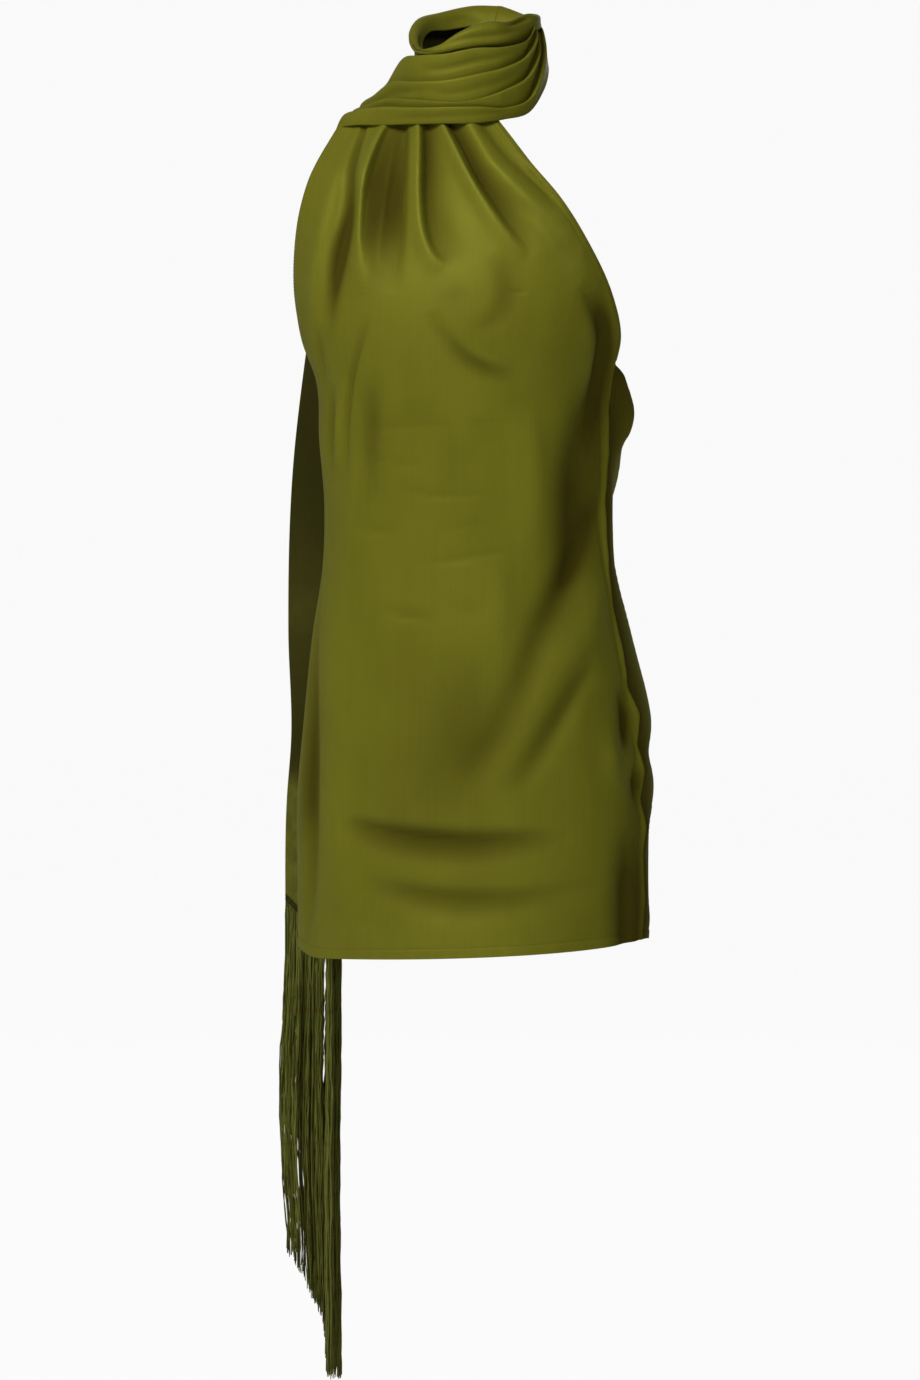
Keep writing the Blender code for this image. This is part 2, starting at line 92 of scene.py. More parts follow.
COWL_DEPTH = 150.0
COWL_SLACK = 7.0
COWL_SWELL = 26.0
COWL_SWELL_WIDTH = 32.0
COWL_POUCH = 16.0
POUCH_PLACE = 0.14
POUCH_WIDTH = 0.09

FULL_BAND = 0.22
BANDS_MEET = 76.0
BAND_CREST = 6.0
TURN_WIDTH = 66.0
STATION_ARC = 1.2
STATION_CLOTH = 1.4
NECK_RADIUS = 60.0
NECK_FOOT = -30.0
NECK_ARC = 1.05

TAIL_END = -814.0
TAIL_END_SLANT = 44.0
TAIL_OUTER = -228.0
TAIL_SPAN = 44.0
TAIL_GATHER = 170.0
TAIL_CLOTH = 175.0
# Sideways drifts of the hanging end's folds: size, length and turn across them
TAIL_DRIFTS = ((2.5, 61.0, 5.0), (1.5, 27.0, 9.0))

STRIP_HEIGHT = 6.0
STRIP_DEPTH = 1.6
STRANDS = 430
STRAND_ROWS = 36
STRAND_SIDES = 5
STRAND_RADIUS = 0.8
STRAND_SEED = 11
FRINGE_SWAY = 8.0
FRINGE_PARTING = 39.0
FRINGE_SIDE = 15.0
PARTING_WIDTH = 2.4
PARTING_REACH = 9.0
SIDE_PARTING = 0.45
SIDE_REACH = 6.0
TIP_RAGGED = 9.0
TIP_LONGER = 26.0
LOCK_WIDTH = 0.22
# Least and most of each thread's place in the strip, gather, wave and number of turns
THREAD_PLACE = (0.1, 1.6)
THREAD_GATHER = (0.35, 0.75)
THREAD_WAVE = (0.35, 1.1)
THREAD_TURNS = (2.0, 5.5)
BUNDLE_FORWARD = 14.0
SIGHT_LINE = 25.0

STITCH_ROW = 9
STITCH_LENGTH = 2.2
STITCH_GAP = 1.1
STITCH_RADIUS = 0.2
STITCH_SIDES = 4
STITCH_RINGS = 5
STITCH_TONE = 0.6

# How finely each piece is laid out
FRONT_COLUMNS = 186
SEAM_ROWS = 118
CHEST_ROWS = 136
BACK_COLUMNS = 170
BACK_ROWS = 150
HEM_ROWS = 12
TURN_COLUMNS = 300
BAND_ROWS = 20
ROLL_COLUMNS = 260
ROLL_ROWS = 64
TAIL_COLUMNS = 150
TAIL_ROWS = 170
TAIL_SAMPLES = 600
HEADING_COLUMNS = 200
HEADING_ROWS = 9
FOLD_SAMPLES = 90

# ---- colours and studio
# Each satin's body, streak, painted highlight on crests, and deep colour for random tone and painted
# shade in valleys, the reverse's far darker than the face's; the thread's deep, body, pale and brown
FACE_COLOURS = (
    (0.186, 0.181, 0.012), (0.217, 0.211, 0.018), (0.250, 0.246, 0.028), (0.078, 0.063, 0.005),
)
REVERSE_COLOURS = (
    (0.052, 0.048, 0.007), (0.066, 0.060, 0.010), (0.300, 0.300, 0.040), (0.028, 0.024, 0.004),
)
THREAD_COLOURS = (
    (0.030, 0.029, 0.006), (0.105, 0.113, 0.018), (0.205, 0.218, 0.044), (0.110, 0.055, 0.016),
)
SATIN_PITCH = 0.00055
THREAD_PITCH = 0.0011
WHITE = (1.0, 1.0, 1.0, 1.0)
FLOOR_WHITE = (0.93, 0.93, 0.925, 1.0)
SATIN_GLOSS = (0.8, 0.84, 0.3, 1.0)
SATIN_SHEEN = (0.75, 0.78, 0.3, 1.0)

# Studio sizes are in metres: each light's place, aim, width and height, and watts
LIGHTS = {
    "key_softbox": ((-0.75, -2.3, 1.6), (0.0, 0.0, -0.3), (1.2, 1.2), 51),
    "side_softbox": ((1.5, -1.9, 1.4), (0.1, 0.0, -0.2), (0.8, 0.8), 6),
    "low_softbox": ((0.3, -2.1, -1.35), (0.0, 0.0, -0.95), (0.9, 0.3), 5),
    "back_softbox": ((-1.0, 3.4, 1.0), (0.0, 0.0, -0.45), (2.2, 2.2), 26),
}
FLOOR_DROP = 0.15
FLOOR_RADIUS = 14
FLOOR_CORNERS = 96
CAMERA_PLACE = (1.7594, -3.8101, -0.4344)
CAMERA_AIM = (-0.01421, -0.00663, -0.603)
CAMERA_LENS = 111.8

# ---- section tables
# Front sections: height, right edge x, y, left edge x, y, middle y, turn from middle to edge
FRONT_SECTIONS = (
    (-870, -184, -4, 178, -4, -125, 90),
    (-791, -186, -1, 178, -1, -123, 90),
    (-712, -187, 0, 177, 0, -121, 90),
    (-633, -179, 0, 171, 0, -121, 90),
    (-555, -167, -8, 156, -8, -120, 90),
    (-476, -153, -12, 144.5, -12, -115, 90),
    (-417, -151, -14, 144, -14, -115, 90),
    (-358, -156, -14, 146, -14, -119, 90),
    (-301, -158, -14, 150, -14, -126, 90),
    (-261, -171, -32, 165, -28, -128, 84),
    (-222, -173, -48, 163, -44, -124, 80),
    (-173, -167, -62, 146, -62, -112, 76),
    (-130, -158, -66, 121, -72, -99, 72),
    (-95, -147, -62, 90, -74, -88, 70),
    (-60, -132, -48, 58, -66, -79, 70),
)

# Back sections: height, middle y
BACK_SECTIONS = (
    (-870, 120), (-791, 124), (-712, 128), (-633, 125), (-555, 113), (-476, 99), (-417, 93), (-358, 98),
    (-285, 104),
)

# Scarf, first turn: angle from the front towards the wearer's left, upper rim, roll, roll's
# foot, and how far its rolled edge reaches inwards and drops inside
INNER_TURN = (
    (-180, 70, 5, 40, 18, 22),
    (-155, 71, 5, 40, 18, 22),
    (-115, 62, 5, 38, 15, 18),
    (-90, 55, 6, 34, 11, 14),
    (-60, 36, 6, 24, 8, 11),
    (-35, 21, 7, 13, 8, 10),
    (-12, 20, 7, 10, 9, 10),
    (10, 32, 9, 13, 10, 12),
    (30, 41, 9, 16, 10, 13),
    (50, 44, 9, 18, 9, 12),
    (72, 51, 6, 25, 8, 10),
    (100, 54, 4, 38, 9, 11),
    (136, 55, 5, 40, 12, 12),
    (180, 70, 5, 40, 18, 22),
)
# Its section: share of the way from hidden foot to roll's foot, then to the rim, swell, and
# share of the way inwards and down inside
ROLL_SECTION = (
    (0, 0, 0, 0, 0), (0.5, 0, 0, 0, 0), (0.92, 0, 0.05, 0, 0), (1, 0, 0.35, 0, 0),
    (1, 0.05, 0.68, 0, 0), (1, 0.18, 0.9, 0, 0), (1, 0.4, 1.02, 0, 0), (1, 0.66, 1, 0, 0),
    (1, 0.86, 0.78, 0, 0), (1, 0.97, 0.42, 0, 0), (1, 1, 0, 0.03, 0), (1, 1, 0, 0.25, 0.03),
    (1, 1, 0, 0.48, 0.14), (1, 1, 0, 0.7, 0.36), (1, 1, 0, 0.87, 0.66), (1, 1, 0, 1, 1),
)
# Creases of the roll, as folds: distance round from the front, height, widths, lift
ROLL_CREASES = (
    ((44, 36, 8, 7, 0), (62, 42, 9, 7, -3.5), (84, 45, 8, 7, 0)),
    ((-14, 16, 3, 0), (14, 24, 3, 4, -2.2), (44, 28, 3, 4, -2.2), (74, 36, 3, 0)),
    ((-74, 36, 3, 0), (-50, 24, 3, 5, -3), (-28, 15, 3, 4, -2.5), (-12, 14, 3, 0)),
    ((52, 38, 3, 0), (72, 45, 3, 4, -3), (90, 50, 3, 0)),
    ((-176, 56, 4, 0), (-150, 58, 4, -1.8), (-120, 52, 4, 0)),
    ((104, 46, 4, 0), (130, 50, 4, -1.8), (160, 54, 4, 0)),
    ((-176, 22, 8, 6, 0), (-150, 14, 9, 7, -3), (-122, 22, 8, 6, 0)),
    ((104, -2, 8, 6, 0), (140, 14, 9, 7, -3), (178, 8, 8, 6, 0)),
    ((-176, -6, 7, 5, 0), (-148, -12, 8, 6, -2.5), (-118, -4, 7, 5, 0)),
)

# Scarf, second turn: station, lower edge x, y, z, upper edge x, y, z, fold depth
OUTER_TURN = (
    (-150, -160, 22, -90, -134, 56, -66, 4),
    (-125, -151, -9, -66, -124, 32, -38, 7),
    (-100, -132, -38, -55, -106, 4, -26, 9),
    (-75, -106, -53, -53, -80, -18, -15, 9),
    (-50, -72, -64, -55, -53, -40, 8, 8),
    (-25, -36, -72, -56, -28, -58, 10, 7),
    (0, 0, -76, -57, 0, -65, 10, 7),
    (25, 32, -68, -57, 27, -59, 15, 7),
    (46, 54, -52, -53, 47, -46, 16, 8),
    (65, 70, -33, -46, 59, -28, 22, 9),
    (85, 74, -6, -22, 61, -6, 40, 9),
    (105, 69, 18, 0, 56, 16, 50, 5),
    (135, 47, 46, 18, 43, 43, 44, 3),
    (165, 17, 61.5, 33, 16.5, 60, 39, 0),
)
# Where its three fold lines lie, as a share of the width, at the same stations
FOLD_LINES = (
    (-150, 0.27, 0.5, 0.74), (-75, 0.25, 0.42, 0.66), (-25, 0.22, 0.35, 0.6), (25, 0.2, 0.31, 0.63),
    (52, 0.15, 0.42, 0.72), (66, 0.2, 0.5, 0.78), (80, 0.38, 0.62, 0.84), (95, 0.58, 0.75, 0.9),
    (110, 0.76, 0.86, 0.94), (165, 0.76, 0.86, 0.94),
)
# Section of one folded band: rise up the band, bulge; it rolls over into the pocket behind it
BAND_SECTION = (
    (-0.1, 0.06), (0, 0.12), (0.2, 0.3), (0.45, 0.58), (0.68, 0.82), (0.86, 0.98), (0.97, 1.02),
    (1.03, 0.9), (1.03, 0.66), (0.98, 0.42), (0.92, 0.22),
)
FRONT_NECK_STATIONS = (-98.0, 41.0)
# Creases along the second turn, as folds: station, share of the width, widths, lift
BAND_CREASES = (
    ((-120, 0.62, 3, 0), (-80, 0.54, 3, -2.1), (-40, 0.48, 3, 4, -2.4), (0, 0.50, 3, 0)),
    ((-20, 0.48, 3, 0), (10, 0.44, 3, 4, -2.1), (40, 0.52, 3, 4, -1.8), (66, 0.66, 3, 0)),
    ((-60, 0.12, 3, 0), (-20, 0.10, 3, -1.5), (30, 0.11, 2.5, 3, -1.5), (52, 0.08, 3, 0)),
    ((-30, 0.78, 3, 4, 0), (0, 0.80, 3, 4, -2.4), (30, 0.84, 3, 4, -2.7), (58, 0.90, 3, 0)),
    ((-130, 0.36, 3, 4, 0), (-100, 0.34, 3, 4, -2.4), (-60, 0.30, 3, -1.5), (-30, 0.27, 3, 0)),
    ((-140, 0.86, 4, 0), (-115, 0.84, 4, -2.7), (-85, 0.80, 4, -2.1), (-60, 0.78, 4, 0)),
)

# Scarf's hanging end: height, x and y of its outer edge
TAIL_EDGE = (
    (-870, -228, 34), (-718, -226, 34), (-657, -221, 34), (-547, -224, 34), (-374, -217, 33),
    (-285, -205, 32), (-200, -190, 30), (-130, -174, 27), (-80, -158, 22),
)
# Painted shade and light on the hanging end: height, and millimetres of painted tone, negative for
# painted shade where it lies deep behind the armhole, positive for painted light lower down
TAIL_PAINTED_LIGHT = (
    (-870, 12), (-780, 12), (-715, 8), (-680, -2), (-610, -3), (-520, 1), (-440, -5), (-370, -7),
    (-250, -4), (-80, 0),
)
# Its lengthwise folds: x and y from the outer edge
TAIL_FOLDS = (
    (0, 0), (18, 4), (36, 9), (43, 13), (43, 19), (36, 23), (23, 27), (13, 31), (10, 37), (14, 43),
    (24, 46), (32, 49), (35, 55), (31, 61), (20, 66), (9, 69),
)

# Ends of the fringe's three bundles: distance across it, height of the strands' tips
FRINGE_TIPS = (
    (0, -1184), (14, -1200), (16, -1208), (38, -1256), (40, -1306), (56, -1316),
)

# ---- folds
# Each fold is a line of rows: distance from the panel's middle, height, width on its left and
# on its right where the line runs down the panel (below and above it where it runs to the
# right), and lift. A row with one width has it on both sides.
NECK_PLEATS = (
    ((-52, -70, 3, 0), (-54, -110, 3.5, 2), (-54, -160, 4, 2), (-52, -205, 5, 0)),
    ((-64, -62, 9, 3, 3), (-71, -76, 11, 3, 7), (-76, -97, 13, 3, 9), (-79, -124, 14, 3.5, 9),
     (-78, -156, 15, 4.5, 7.5), (-74, -185, 16, 7, 4.5), (-70, -222, 18, 14, 0)),
    ((-44, -62, 13, 3.5, -5), (-41, -80, 18, 4, -7), (-38, -105, 24, 4, -8.5), (-36, -130, 27, 4, -9),
     (-33, -160, 26, 5, -7), (-32, -190, 20, 7, -3), (-34, -222, 14, 10, 0)),
    ((-26, -62, 7, 2.6, 4.5), (-22, -81, 8, 2.6, 5), (-17, -120, 9, 2.8, 5.5), (-9, -156, 10, 3, 5),
     (4, -183, 11, 4, 3), (20, -198, 11, 6, 0)),
    ((-17, -62, 3, 13, -4.5), (-14, -81, 3, 15, -5.5), (-9, -120, 3, 18, -5.5),
     (0, -156, 3.5, 18, -4.5), (13, -180, 5, 14, -2.5), (30, -194, 6, 10, 0)),
    ((0, -62, 7, 2.6, 4), (16, -83, 8, 2.8, 5.5), (36, -113, 9, 3, 5.5), (59, -144, 10, 4, 4.5),
     (80, -170, 11, 6, 2.5), (98, -190, 11, 8, 0)),
    ((9, -62, 3, 9, -4.5), (25, -81, 3, 11, -5.5), (45, -110, 3.5, 13, -5.5), (67, -138, 4, 13, -4.5),
     (88, -163, 5, 12, -2.5), (108, -186, 7, 10, 0)),
    ((29, -62, 7, 8, 4), (42, -81, 8, 5), (54, -98, 8, 9, 5.5), (74, -117, 9, 10, 5.5),
     (108, -145, 9, 11, 4), (140, -170, 10, 12, 1.5), (160, -190, 12, 0)),
    ((48, -66, 5, 6, -2), (66, -86, 5, 7, -3), (88, -104, 6, 7, -3), (112, -124, 6, 7, -2.5),
     (134, -146, 8, 0)),
)
SIDE_PLEATS = (
    ((-100, -64, 4, 5, -3), (-99, -85, 5, 6, -4.5), (-97, -107, 5, 8, -5), (-95, -130, 6, 12, -6.5),
     (-98, -152, 6, 15, -8.5), (-106, -178, 7, 17, -9.5), (-110, -203, 7, 16, -8),
     (-113, -232, 7, 13, -5), (-120, -275, 8, 10, 0)),
    ((-114, -90, 10, 7, 0), (-122, -130, 12, 8, 2), (-130, -170, 12, 9, 3), (-136, -215, 12, 10, 3),
     (-140, -260, 11, 0)),
    ((87, -143, 6, 0), (116, -167, 7, 2.5), (142, -190, 9, 0)),
    ((-130, -245, 9, 0), (-136, -275, 10, 9, -3.5), (-138, -315, 10, 0)),
)
BUST_SWIRL = (
    ((2, -131, 8, 10, 0), (21, -171, 10, 12, -1.5), (44, -198, 10, 0)),
    ((66, -184, 8, 10, 0), (80, -208, 9, 12, -1.8), (80, -234, 9, 12, -2.2), (66, -252, 9, 11, -1.6),
     (46, -258, 9, 0)),
    ((82, -219, 2, 0), (94, -221, 2, -0.9), (106, -221, 2, 0)),
)
BUST_DRAPE = (
    ((8, -238, 9, 8, 0), (20, -258, 9, 7, -2.6), (40, -279, 10, 7, -3.8), (60, -292, 10, 7, -4),
     (80, -299, 10, 8, -2.6), (104, -296, 10, 9, 0)),
    ((10, -300, 16, 14, 0), (50, -320, 18, 14, 1.5), (96, -318, 16, 14, 0)),
    ((-60, -240, 5, 0), (-71, -268, 5, 4, -3.5), (-87, -304, 5.5, 4, -5.5), (-97, -344, 6, 4.5, -5),
     (-104, -400, 8, 7, 0)),
    ((-100, -296, 7, 0), (-109, -345, 8, 7, 3), (-115, -395, 8, 0)),
    ((-118, -300, 9, 8, 0), (-126, -348, 9, 8, -4), (-131, -400, 9, 0)),
    ((-54, -290, 12, 0), (-62, -340, 12, 14, -3.5), (-70, -392, 13, 14, -3.5), (-82, -450, 12, 0)),
    ((-75, -330, 8, 0), (-82, -380, 9, 2.5), (-90, -430, 9, 0)),
    ((154, -214, 8, 0), (168, -230, 8, 14, -4), (179, -250, 8, 18, -8), (184, -270, 9, 18, -10),
     (182, -305, 11, 20, -9), (172, -340, 15, 22, -5), (164, -380, 18, 22, 0)),
    ((172, -300, 14, 20, 0), (158, -345, 16, 26, -6), (149, -390, 17, 28, -9), (147, -437, 17, 28, -9),
     (144, -480, 16, 24, -5), (138, -512, 14, 18, 0)),
    ((100, -320, 16, 12, 0), (106, -370, 18, 13, 3), (106, -430, 18, 13, 3), (98, -490, 16, 13, 0)),
    ((44, -338, 9, 8, 0), (64, -352, 9, 8, -1.2), (90, -354, 9, 8, 0)),
)
HIP_DRAPE = (
    ((196, -415, 13, 12, 0), (172, -440, 14, -4), (148, -480, 15, -6.5), (128, -515, 15, -7),
     (110, -556, 15, -6.5), (90, -606, 16, 15, -5.5), (64, -650, 16, 14, -4), (30, -692, 16, 14, 0)),
    ((196, -478, 16, 0), (176, -520, 16, 18, 3), (148, -566, 17, 18, 3.2), (104, -616, 17, 18, 2.2),
     (58, -662, 18, 0)),
    ((172, -566, 9, 0), (152, -592, 11, 10, -5), (130, -630, 12, 11, -6.5), (106, -668, 13, 12, -5),
     (78, -702, 12, 0)),
    ((60, -470, 12, 0), (76, -520, 14, 12, 2), (62, -580, 14, 13, 0)),
    ((203, -590, 8, 0), (209, -614, 10, 9, -6), (211, -636, 10, 9, -8), (206, -660, 9, 8, 0)),
    ((228, -660, 8, 7, 0), (226, -686, 11, 8, -7), (223, -712, 9, 7, 0)),
    ((182, -628, 12, 9, 0), (190, -668, 14, 10, 4), (196, -704, 12, 9, 0)),
    ((147, -606, 2, 0), (186, -607, 2, -0.7), (224, -607, 2, 0)),
    ((98, -660, 2, 0), (160, -661, 2, -0.7), (228, -660, 2, 0)),
    ((10, -505, 7, 6, 0), (38, -520, 7, 6, -1), (70, -516, 7, 6, 0)),
)
SKIRT_WAVES = (
    ((-104, -728, 16, 8, 0), (-70, -733, 20, 8, -7.5), (-20, -739, 22, 8.5, -11),
     (40, -742, 22, 9, -10.5), (90, -741, 18, 9, -7), (150, -738, 12, 9, 0)),
    ((-80, -782, 14, 9, 0), (-20, -792, 16, 9, -6), (30, -797, 17, 9, -7), (90, -796, 16, 9, -5.5),
     (145, -788, 13, 9, -2), (180, -782, 10, 0)),
    ((-160, -836, 40, 18, 0), (-80, -840, 40, 20, 3), (60, -842, 40, 20, 3), (170, -838, 40, 18, 0)),
    ((204, -725, 12, 9, 0), (206, -780, 14, 9, -5), (208, -840, 14, 10, -5)),
    ((-162, -500, 10, 0), (-155, -600, 11, -4), (-150, -680, 11, 12, -6.5), (-150, -750, 11, 12, -6),
     (-154, -815, 12, -3), (-158, -862, 12, 0)),
    ((-112, -500, 18, 20, 0), (-114, -600, 20, 24, 3), (-110, -720, 20, 24, 3),
     (-104, -820, 20, 22, 0)),
    ((-40, -540, 30, 0), (-36, -620, 34, 32, 2), (-24, -690, 34, 30, 1.5), (-20, -730, 30, 0)),
    ((52, -560, 30, 0), (46, -640, 32, 36, -4.5), (42, -700, 32, 36, -2), (40, -735, 30, 0)),
)
WAIST_LINES = (
    ((-78, -342, 2.5, 3, 0), (-20, -347, 2.5, 3, -1.8), (48, -341, 2.5, 3, 0)),
    ((30, -338, 2.5, 3, 0), (66, -343, 2.5, 3, -1.5), (104, -338, 2.5, 3, 0)),
    ((-44, -403, 2.5, 3, 0), (20, -413, 2.5, 4, -2), (76, -407, 2.5, 3, 0)),
    ((-10, -478, 3, 4, 0), (40, -471, 3, 4, -2.2), (92, -464, 3, 0)),
    ((-96, -440, 2.5, 3, 0), (-60, -446, 2.5, 3, -1.6), (-24, -444, 2.5, 3, 0)),
    ((10, -446, 2.5, 3, 0), (44, -440, 2.5, 3, -1.5), (82, -441, 2.5, 3, 0)),
    ((-60, -520, 3, 4, 0), (-20, -528, 3, 4, -2), (20, -530, 3, 4, 0)),
    ((-70, -376, 2.5, 3, 0), (-30, -381, 2.5, 3, -1.5), (14, -378, 2.5, 3, 0)),
)
FRONT_FOLDS = (
    NECK_PLEATS + SIDE_PLEATS + BUST_SWIRL + BUST_DRAPE + HIP_DRAPE + SKIRT_WAVES + WAIST_LINES
)

# Painted shade on the front, mostly where its folds would shade it, and painted light high on the
# wearer's left of the bust: rows as above, with how deep the painted tone is in place of the lift
PAINTED_SHADE_AND_LIGHT = (
    ((-60, -58, 4, 18, -6), (-66, -78, 4, 22, -9), (-70, -105, 5, 27, -11), (-70, -135, 5, 30, -11),
     (-67, -165, 7, 28, -9), (-60, -195, 10, 20, -4), (-54, -225, 12, 14, 0)),
    ((-39, -62, 2.5, 3, -3), (-34, -91, 2.5, 3, -5), (-29, -130, 2.5, 3, -5), (-26, -157, 3, -4),
     (-23, -193, 4, 0)),
    ((-19, -62, 2.5, 10, -6), (-16, -81, 2.5, 12, -8), (-11, -120, 2.5, 12, -6), (-2, -156, 3, 10, -4),
     (10, -180, 4, 8, -2), (26, -196, 6, 8, 0)),
    ((7, -62, 2.5, 12, -6), (23, -81, 2.5, 14, -8), (43, -110, 3, 16, -8), (65, -138, 3.5, 16, -6),
     (86, -163, 5, 12, -3), (106, -186, 7, 10, 0)),
    ((-101, -60, 5, 6, -3), (-100, -85, 5, 6, -5), (-97, -110, 5, 7, -7), (-96, -140, 6, 10, -9),
     (-100, -165, 8, 11, -11), (-105, -190, 9, 10, -10), (-109, -215, 8, 9, -6), (-114, -245, 8, 0)),
    ((66, -186, 10, 0), (84, -210, 10, 12, -2.5), (82, -238, 10, 12, -3), (62, -258, 9, 0)),
    ((26, -214, 9, 0), (34, -222, 9, -2), (42, -232, 9, 0)),
    ((20, -258, 9, 7, 0), (44, -281, 9, 6, -3), (66, -293, 9, 6, -3.5), (92, -298, 9, 8, 0)),
    ((168, -218, 7, 12, 0), (179, -240, 7, 16, -7), (186, -262, 8, 16, -11), (190, -295, 10, 16, -11),
     (184, -335, 14, 18, -7), (176, -390, 20, -5), (170, -460, 22, 20, -4), (160, -510, 18, 0)),
    ((-120, -300, 10, 0), (-127, -345, 11, -2), (-132, -400, 11, 0)),
    ((-56, -290, 12, 0), (-64, -345, 12, 14, -3), (-74, -400, 12, 14, 0)),
    ((-162, -520, 20, 10, 0), (-160, -640, 24, 10, -8), (-159, -710, 24, 10, -9),
     (-160, -755, 22, 10, -3), (-160, -862, 20, 10, 0)),
    ((-20, -530, 50, 45, 0), (0, -600, 55, 50, -3), (0, -660, 58, 50, -4), (-5, -708, 58, 44, -4),
     (-10, -742, 50, 45, 0)),
    ((140, -350, 20, 0), (134, -400, 22, -3), (132, -450, 22, -4), (130, -510, 20, -3.5),
     (124, -560, 16, 0)),
    ((150, -540, 14, 0), (124, -582, 16, 14, -3), (98, -625, 16, 14, -3), (70, -660, 14, 0)),
    ((204, -600, 8, 0), (210, -622, 10, 9, -7), (210, -642, 10, 9, -7), (205, -664, 8, 0)),
    ((229, -668, 9, 7, 0), (227, -690, 11, 8, -6), (224, -712, 9, 7, 0)),
    ((216, -680, 16, 0), (219, -745, 22, 18, -8), (220, -805, 26, 18, -13), (220, -868, 26, 18, -13)),
    ((104, -135, 14, 12, 0), (122, -152, 16, 13, 5), (140, -176, 16, 13, 8), (150, -202, 16, 12, 6),
     (150, -228, 14, 12, 0)),
)

COWL_FOLDS = (
    ((-205, -330, 12, 0), (-130, -420, 14, 11, 6), (0, -478, 16, 12, 7), (130, -424, 14, 11, 6),
     (205, -336, 12, 0)),
    ((-214, -368, 8, -6), (-140, -448, 12, 11, -5), (0, -508, 13, 12, -5.5), (140, -456, 12, 11, -5),
     (212, -390, 11, 10, -3)),
    ((-206, -440, 9, 0), (-120, -498, 10, 3), (10, -548, 11, 4), (120, -512, 10, 2), (200, -450, 9, 0)),
    ((-190, -470, 8, 0), (-90, -535, 9, -3), (30, -576, 10, -3.5), (140, -532, 9, 0)),
    ((-60, -462, 5, 0), (-20, -470, 5, -1.5), (40, -468, 5, 0)),
)
SEAT_FOLDS = (
    ((-200, -560, 12, 0), (-120, -600, 14, 12, -5), (-30, -655, 15, 13, 0)),
    ((180, -600, 12, 0), (110, -640, 13, 12, -4), (40, -700, 15, 13, 0)),
    ((-205, -480, 24, 18, 0), (-202, -560, 26, 20, 6), (-206, -628, 26, 18, 7), (-206, -662, 24, 16, 1),
     (-206, -694, 24, 16, 4), (-210, -745, 28, 16, -3), (-216, -795, 28, 16, -6),
     (-216, -824, 28, 14, 0), (-216, -852, 28, 14, -6)),
    ((205, -500, 18, 24, 0), (202, -570, 20, 26, 5), (206, -650, 20, 26, 0)),
    ((-150, -700, 10, 0), (-60, -742, 11, -3), (50, -748, 11, -3), (140, -730, 10, 0)),
    ((-110, -770, 12, 0), (0, -784, 13, 3), (120, -772, 12, 0)),
    ((-70, -800, 9, 0), (20, -812, 10, -3), (110, -802, 9, 0)),
)
BACK_FOLDS = COWL_FOLDS + SEAT_FOLDS

# Puckers of the side seams: height, spread up and down, spread sideways, lift
SEAM_PUCKERS = (
    (-330, 9, 12, -1.5), (-372, 8, 10, 1.2), (-418, 12, 12, -1.6), (-470, 10, 10, 1),
    (-520, 12, 12, -1.2), (-560, 9, 10, 1.2), (-596, 10, 14, -3.2), (-624, 9, 13, 3.4),
    (-652, 9, 13, -3.6), (-678, 9, 13, 3), (-706, 10, 14, -3.4), (-732, 10, 13, 2.2),
    (-760, 12, 12, -1.2), (-800, 10, 12, 1.2), (-836, 8, 12, -1.6),
)


# ---- curves and lines of points
def joined(*parts):
    """Parts side by side along a last axis, such as x, y and z of points."""
    return np.stack(parts, axis=-1)


def unit(ways):
    return ways / np.linalg.norm(ways, axis=-1, keepdims=True)


def ease(share):
    share = np.clip(share, 0.0, 1.0)
    return share * share * (3 - 2 * share)


def read_table(rows, at):
    """Smooth curve through the later columns of a table, read at values of its first column."""
    table = np.array(sorted(rows), dtype=float)
    keys, values = table[:, 0], table[:, 1:]
    slopes = np.gradient(values, keys, axis=0)
    at = np.clip(np.asarray(at, dtype=float), keys[0], keys[-1])
    low = np.clip(np.searchsorted(keys, at) - 1, 0, len(keys) - 2)
    span = (keys[low + 1] - keys[low])[..., None]
    share = (at - keys[low])[..., None] / span
    curve = (
        values[low] * (1 + 2 * share) * (1 - share) ** 2
        + values[low + 1] * share ** 2 * (3 - 2 * share)
        + slopes[low] * span * share * (1 - share) ** 2
        - slopes[low + 1] * span * share ** 2 * (1 - share)
    )
    return np.moveaxis(curve, -1, 0)


def read_path(rows, steps):
    """Smooth curve through the rows of a path, read at steps counted from its first row."""
    return read_table([(number, *row) for number, row in enumerate(rows)], steps)


def even_steps(rows, count):
    return np.linspace(0, len(rows) - 1, count)


def travelled(points, axis=0):
    """Distance along a line or a grid of points from its first one."""
    steps = np.linalg.norm(np.diff(points, axis=axis), axis=-1)
    start = np.zeros_like(steps.take([0], axis=axis))
    return np.concatenate([start, np.cumsum(steps, axis=axis)], axis=axis)


def along_rows(grid):
    """Distance along each row from its middle column."""
    distance = travelled(grid, axis=1)
    return distance - distance[:, grid.shape[1] // 2][:, None]


def read_line(line, marks, at):
    """Points of a line, read where each of its own points has the mark given for it."""
    return joined(*(np.interp(at, marks, axis) for axis in line.T))


def both_widths(fold):
    """A fold's rows, where a row's only width is given to both of its sides."""
    return np.array([(*row[:3], *row[-2:]) for row in fold])


